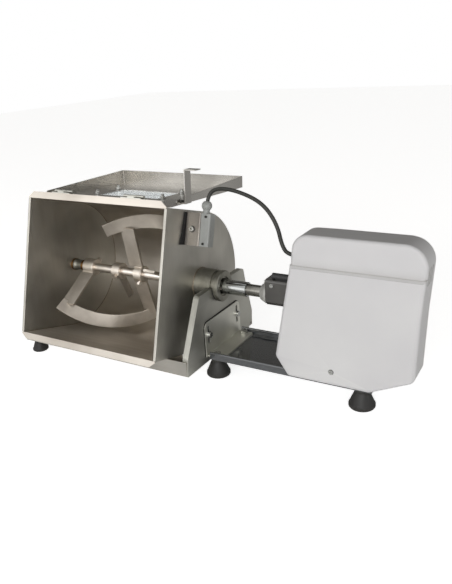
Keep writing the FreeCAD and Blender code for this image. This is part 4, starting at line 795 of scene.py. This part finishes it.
ramp = add(tree, "ValToRGB")
ramp.color_ramp.elements[0].color = srgb("B8B6B2")
ramp.color_ramp.elements[1].color = srgb("8C8A86")
ramp.color_ramp.elements.new(0.5).color = srgb("B4B2AE")
tree.links.new(remap(tree, towards_back, 0.0, 1.0, -1.0, 1.0), ramp.inputs["Fac"])
overhead = remap(tree, upwards, 0.0, 1.0, 0.2, 1.0)

room = add(tree, "Background")
settle(room, Strength=0.75)
tree.links.new(mix_colour(tree, overhead, ramp.outputs["Color"], srgb("3A3936")), room.inputs["Color"])

white = add(tree, "Background")
settle(white, Color=srgb("FFFFFF"), Strength=1.0)
direct, glossy = seen_directly(tree)
behind = combine(tree, "MULTIPLY", glossy, remap(tree, towards_back, 0.0, 1.0, 0.15, 0.12))

choose = add(tree, "MixShader")
tree.links.new(combine(tree, "MAXIMUM", direct, behind), choose.inputs["Fac"])
tree.links.new(room.outputs[0], choose.inputs[1])
tree.links.new(white.outputs[0], choose.inputs[2])
output = add(tree, "OutputWorld")
tree.links.new(choose.outputs[0], output.inputs["Surface"])
print("room nodes:", len(tree.nodes))


# %% [markdown]
# ## Lamps
# The light comes softly from the front and a little from above. A smaller lamp on the right
# brightens the sides of the cover and of the tub.

# %%
MIDDLE = Vector((0.05, 0.1, 0.2))


def softbox(name, place, size, power):
    light = bpy.data.lights.new(name, "AREA")
    light.shape = "RECTANGLE"
    light.size, light.size_y = size
    light.energy = power
    lamp = bpy.data.objects.new(name, light)
    bpy.context.collection.objects.link(lamp)
    lamp.location = place
    lamp.rotation_euler = (MIDDLE - Vector(place)).to_track_quat("-Z", "Y").to_euler()


softbox("key_light", (0.8, -2.7, 0.7), (2.4, 1.5), 39.0)
softbox("fill_light", (-2.0, -2.6, 0.7), (2.8, 2.0), 17.0)
softbox("side_light", (3.2, 0.1, 0.35), (1.6, 0.8), 12.0)
print("lamps aim at", list(MIDDLE))

# %% [markdown]
# ## Camera
# The camera looks from the right front, a little down. Its place, turns and lens were fitted to
# the edges of the tub, the cover and the feet. The lens is written in pixels of the picture.

# %%
PICTURE_WIDE, PICTURE_HIGH = 452.0, 584.0
LENS_PIXELS = 626.1
AIM_ACROSS, AIM_DOWN = 224.2, 290.5
SENSOR_WIDE = 36.0
CAMERA_PLACE = (0.5706, -0.9087, 0.580)
YAW, PITCH, ROLL = math.radians(31.07), math.radians(20.91), math.radians(-3.49)

ahead = Vector((-math.sin(YAW) * math.cos(PITCH), math.cos(YAW) * math.cos(PITCH), -math.sin(PITCH)))
level = Vector((math.cos(YAW), math.sin(YAW), 0.0))
above = level.cross(ahead)
right = math.cos(ROLL) * level + math.sin(ROLL) * above
up = -math.sin(ROLL) * level + math.cos(ROLL) * above
turn = Matrix((right, up, -ahead)).transposed().to_4x4()

lens = bpy.data.cameras.new("camera")
lens.sensor_fit = "HORIZONTAL"
lens.sensor_width = SENSOR_WIDE
lens.lens = LENS_PIXELS / PICTURE_WIDE * SENSOR_WIDE
lens.shift_x = (PICTURE_WIDE / 2.0 - AIM_ACROSS) / PICTURE_WIDE
lens.shift_y = (AIM_DOWN - PICTURE_HIGH / 2.0) / PICTURE_WIDE
camera = bpy.data.objects.new("camera", lens)
camera.matrix_world = Matrix.Translation(CAMERA_PLACE) @ turn
bpy.context.collection.objects.link(camera)
bpy.context.scene.camera = camera
bpy.context.scene.view_settings.view_transform = "Standard"
print("camera at", CAMERA_PLACE)
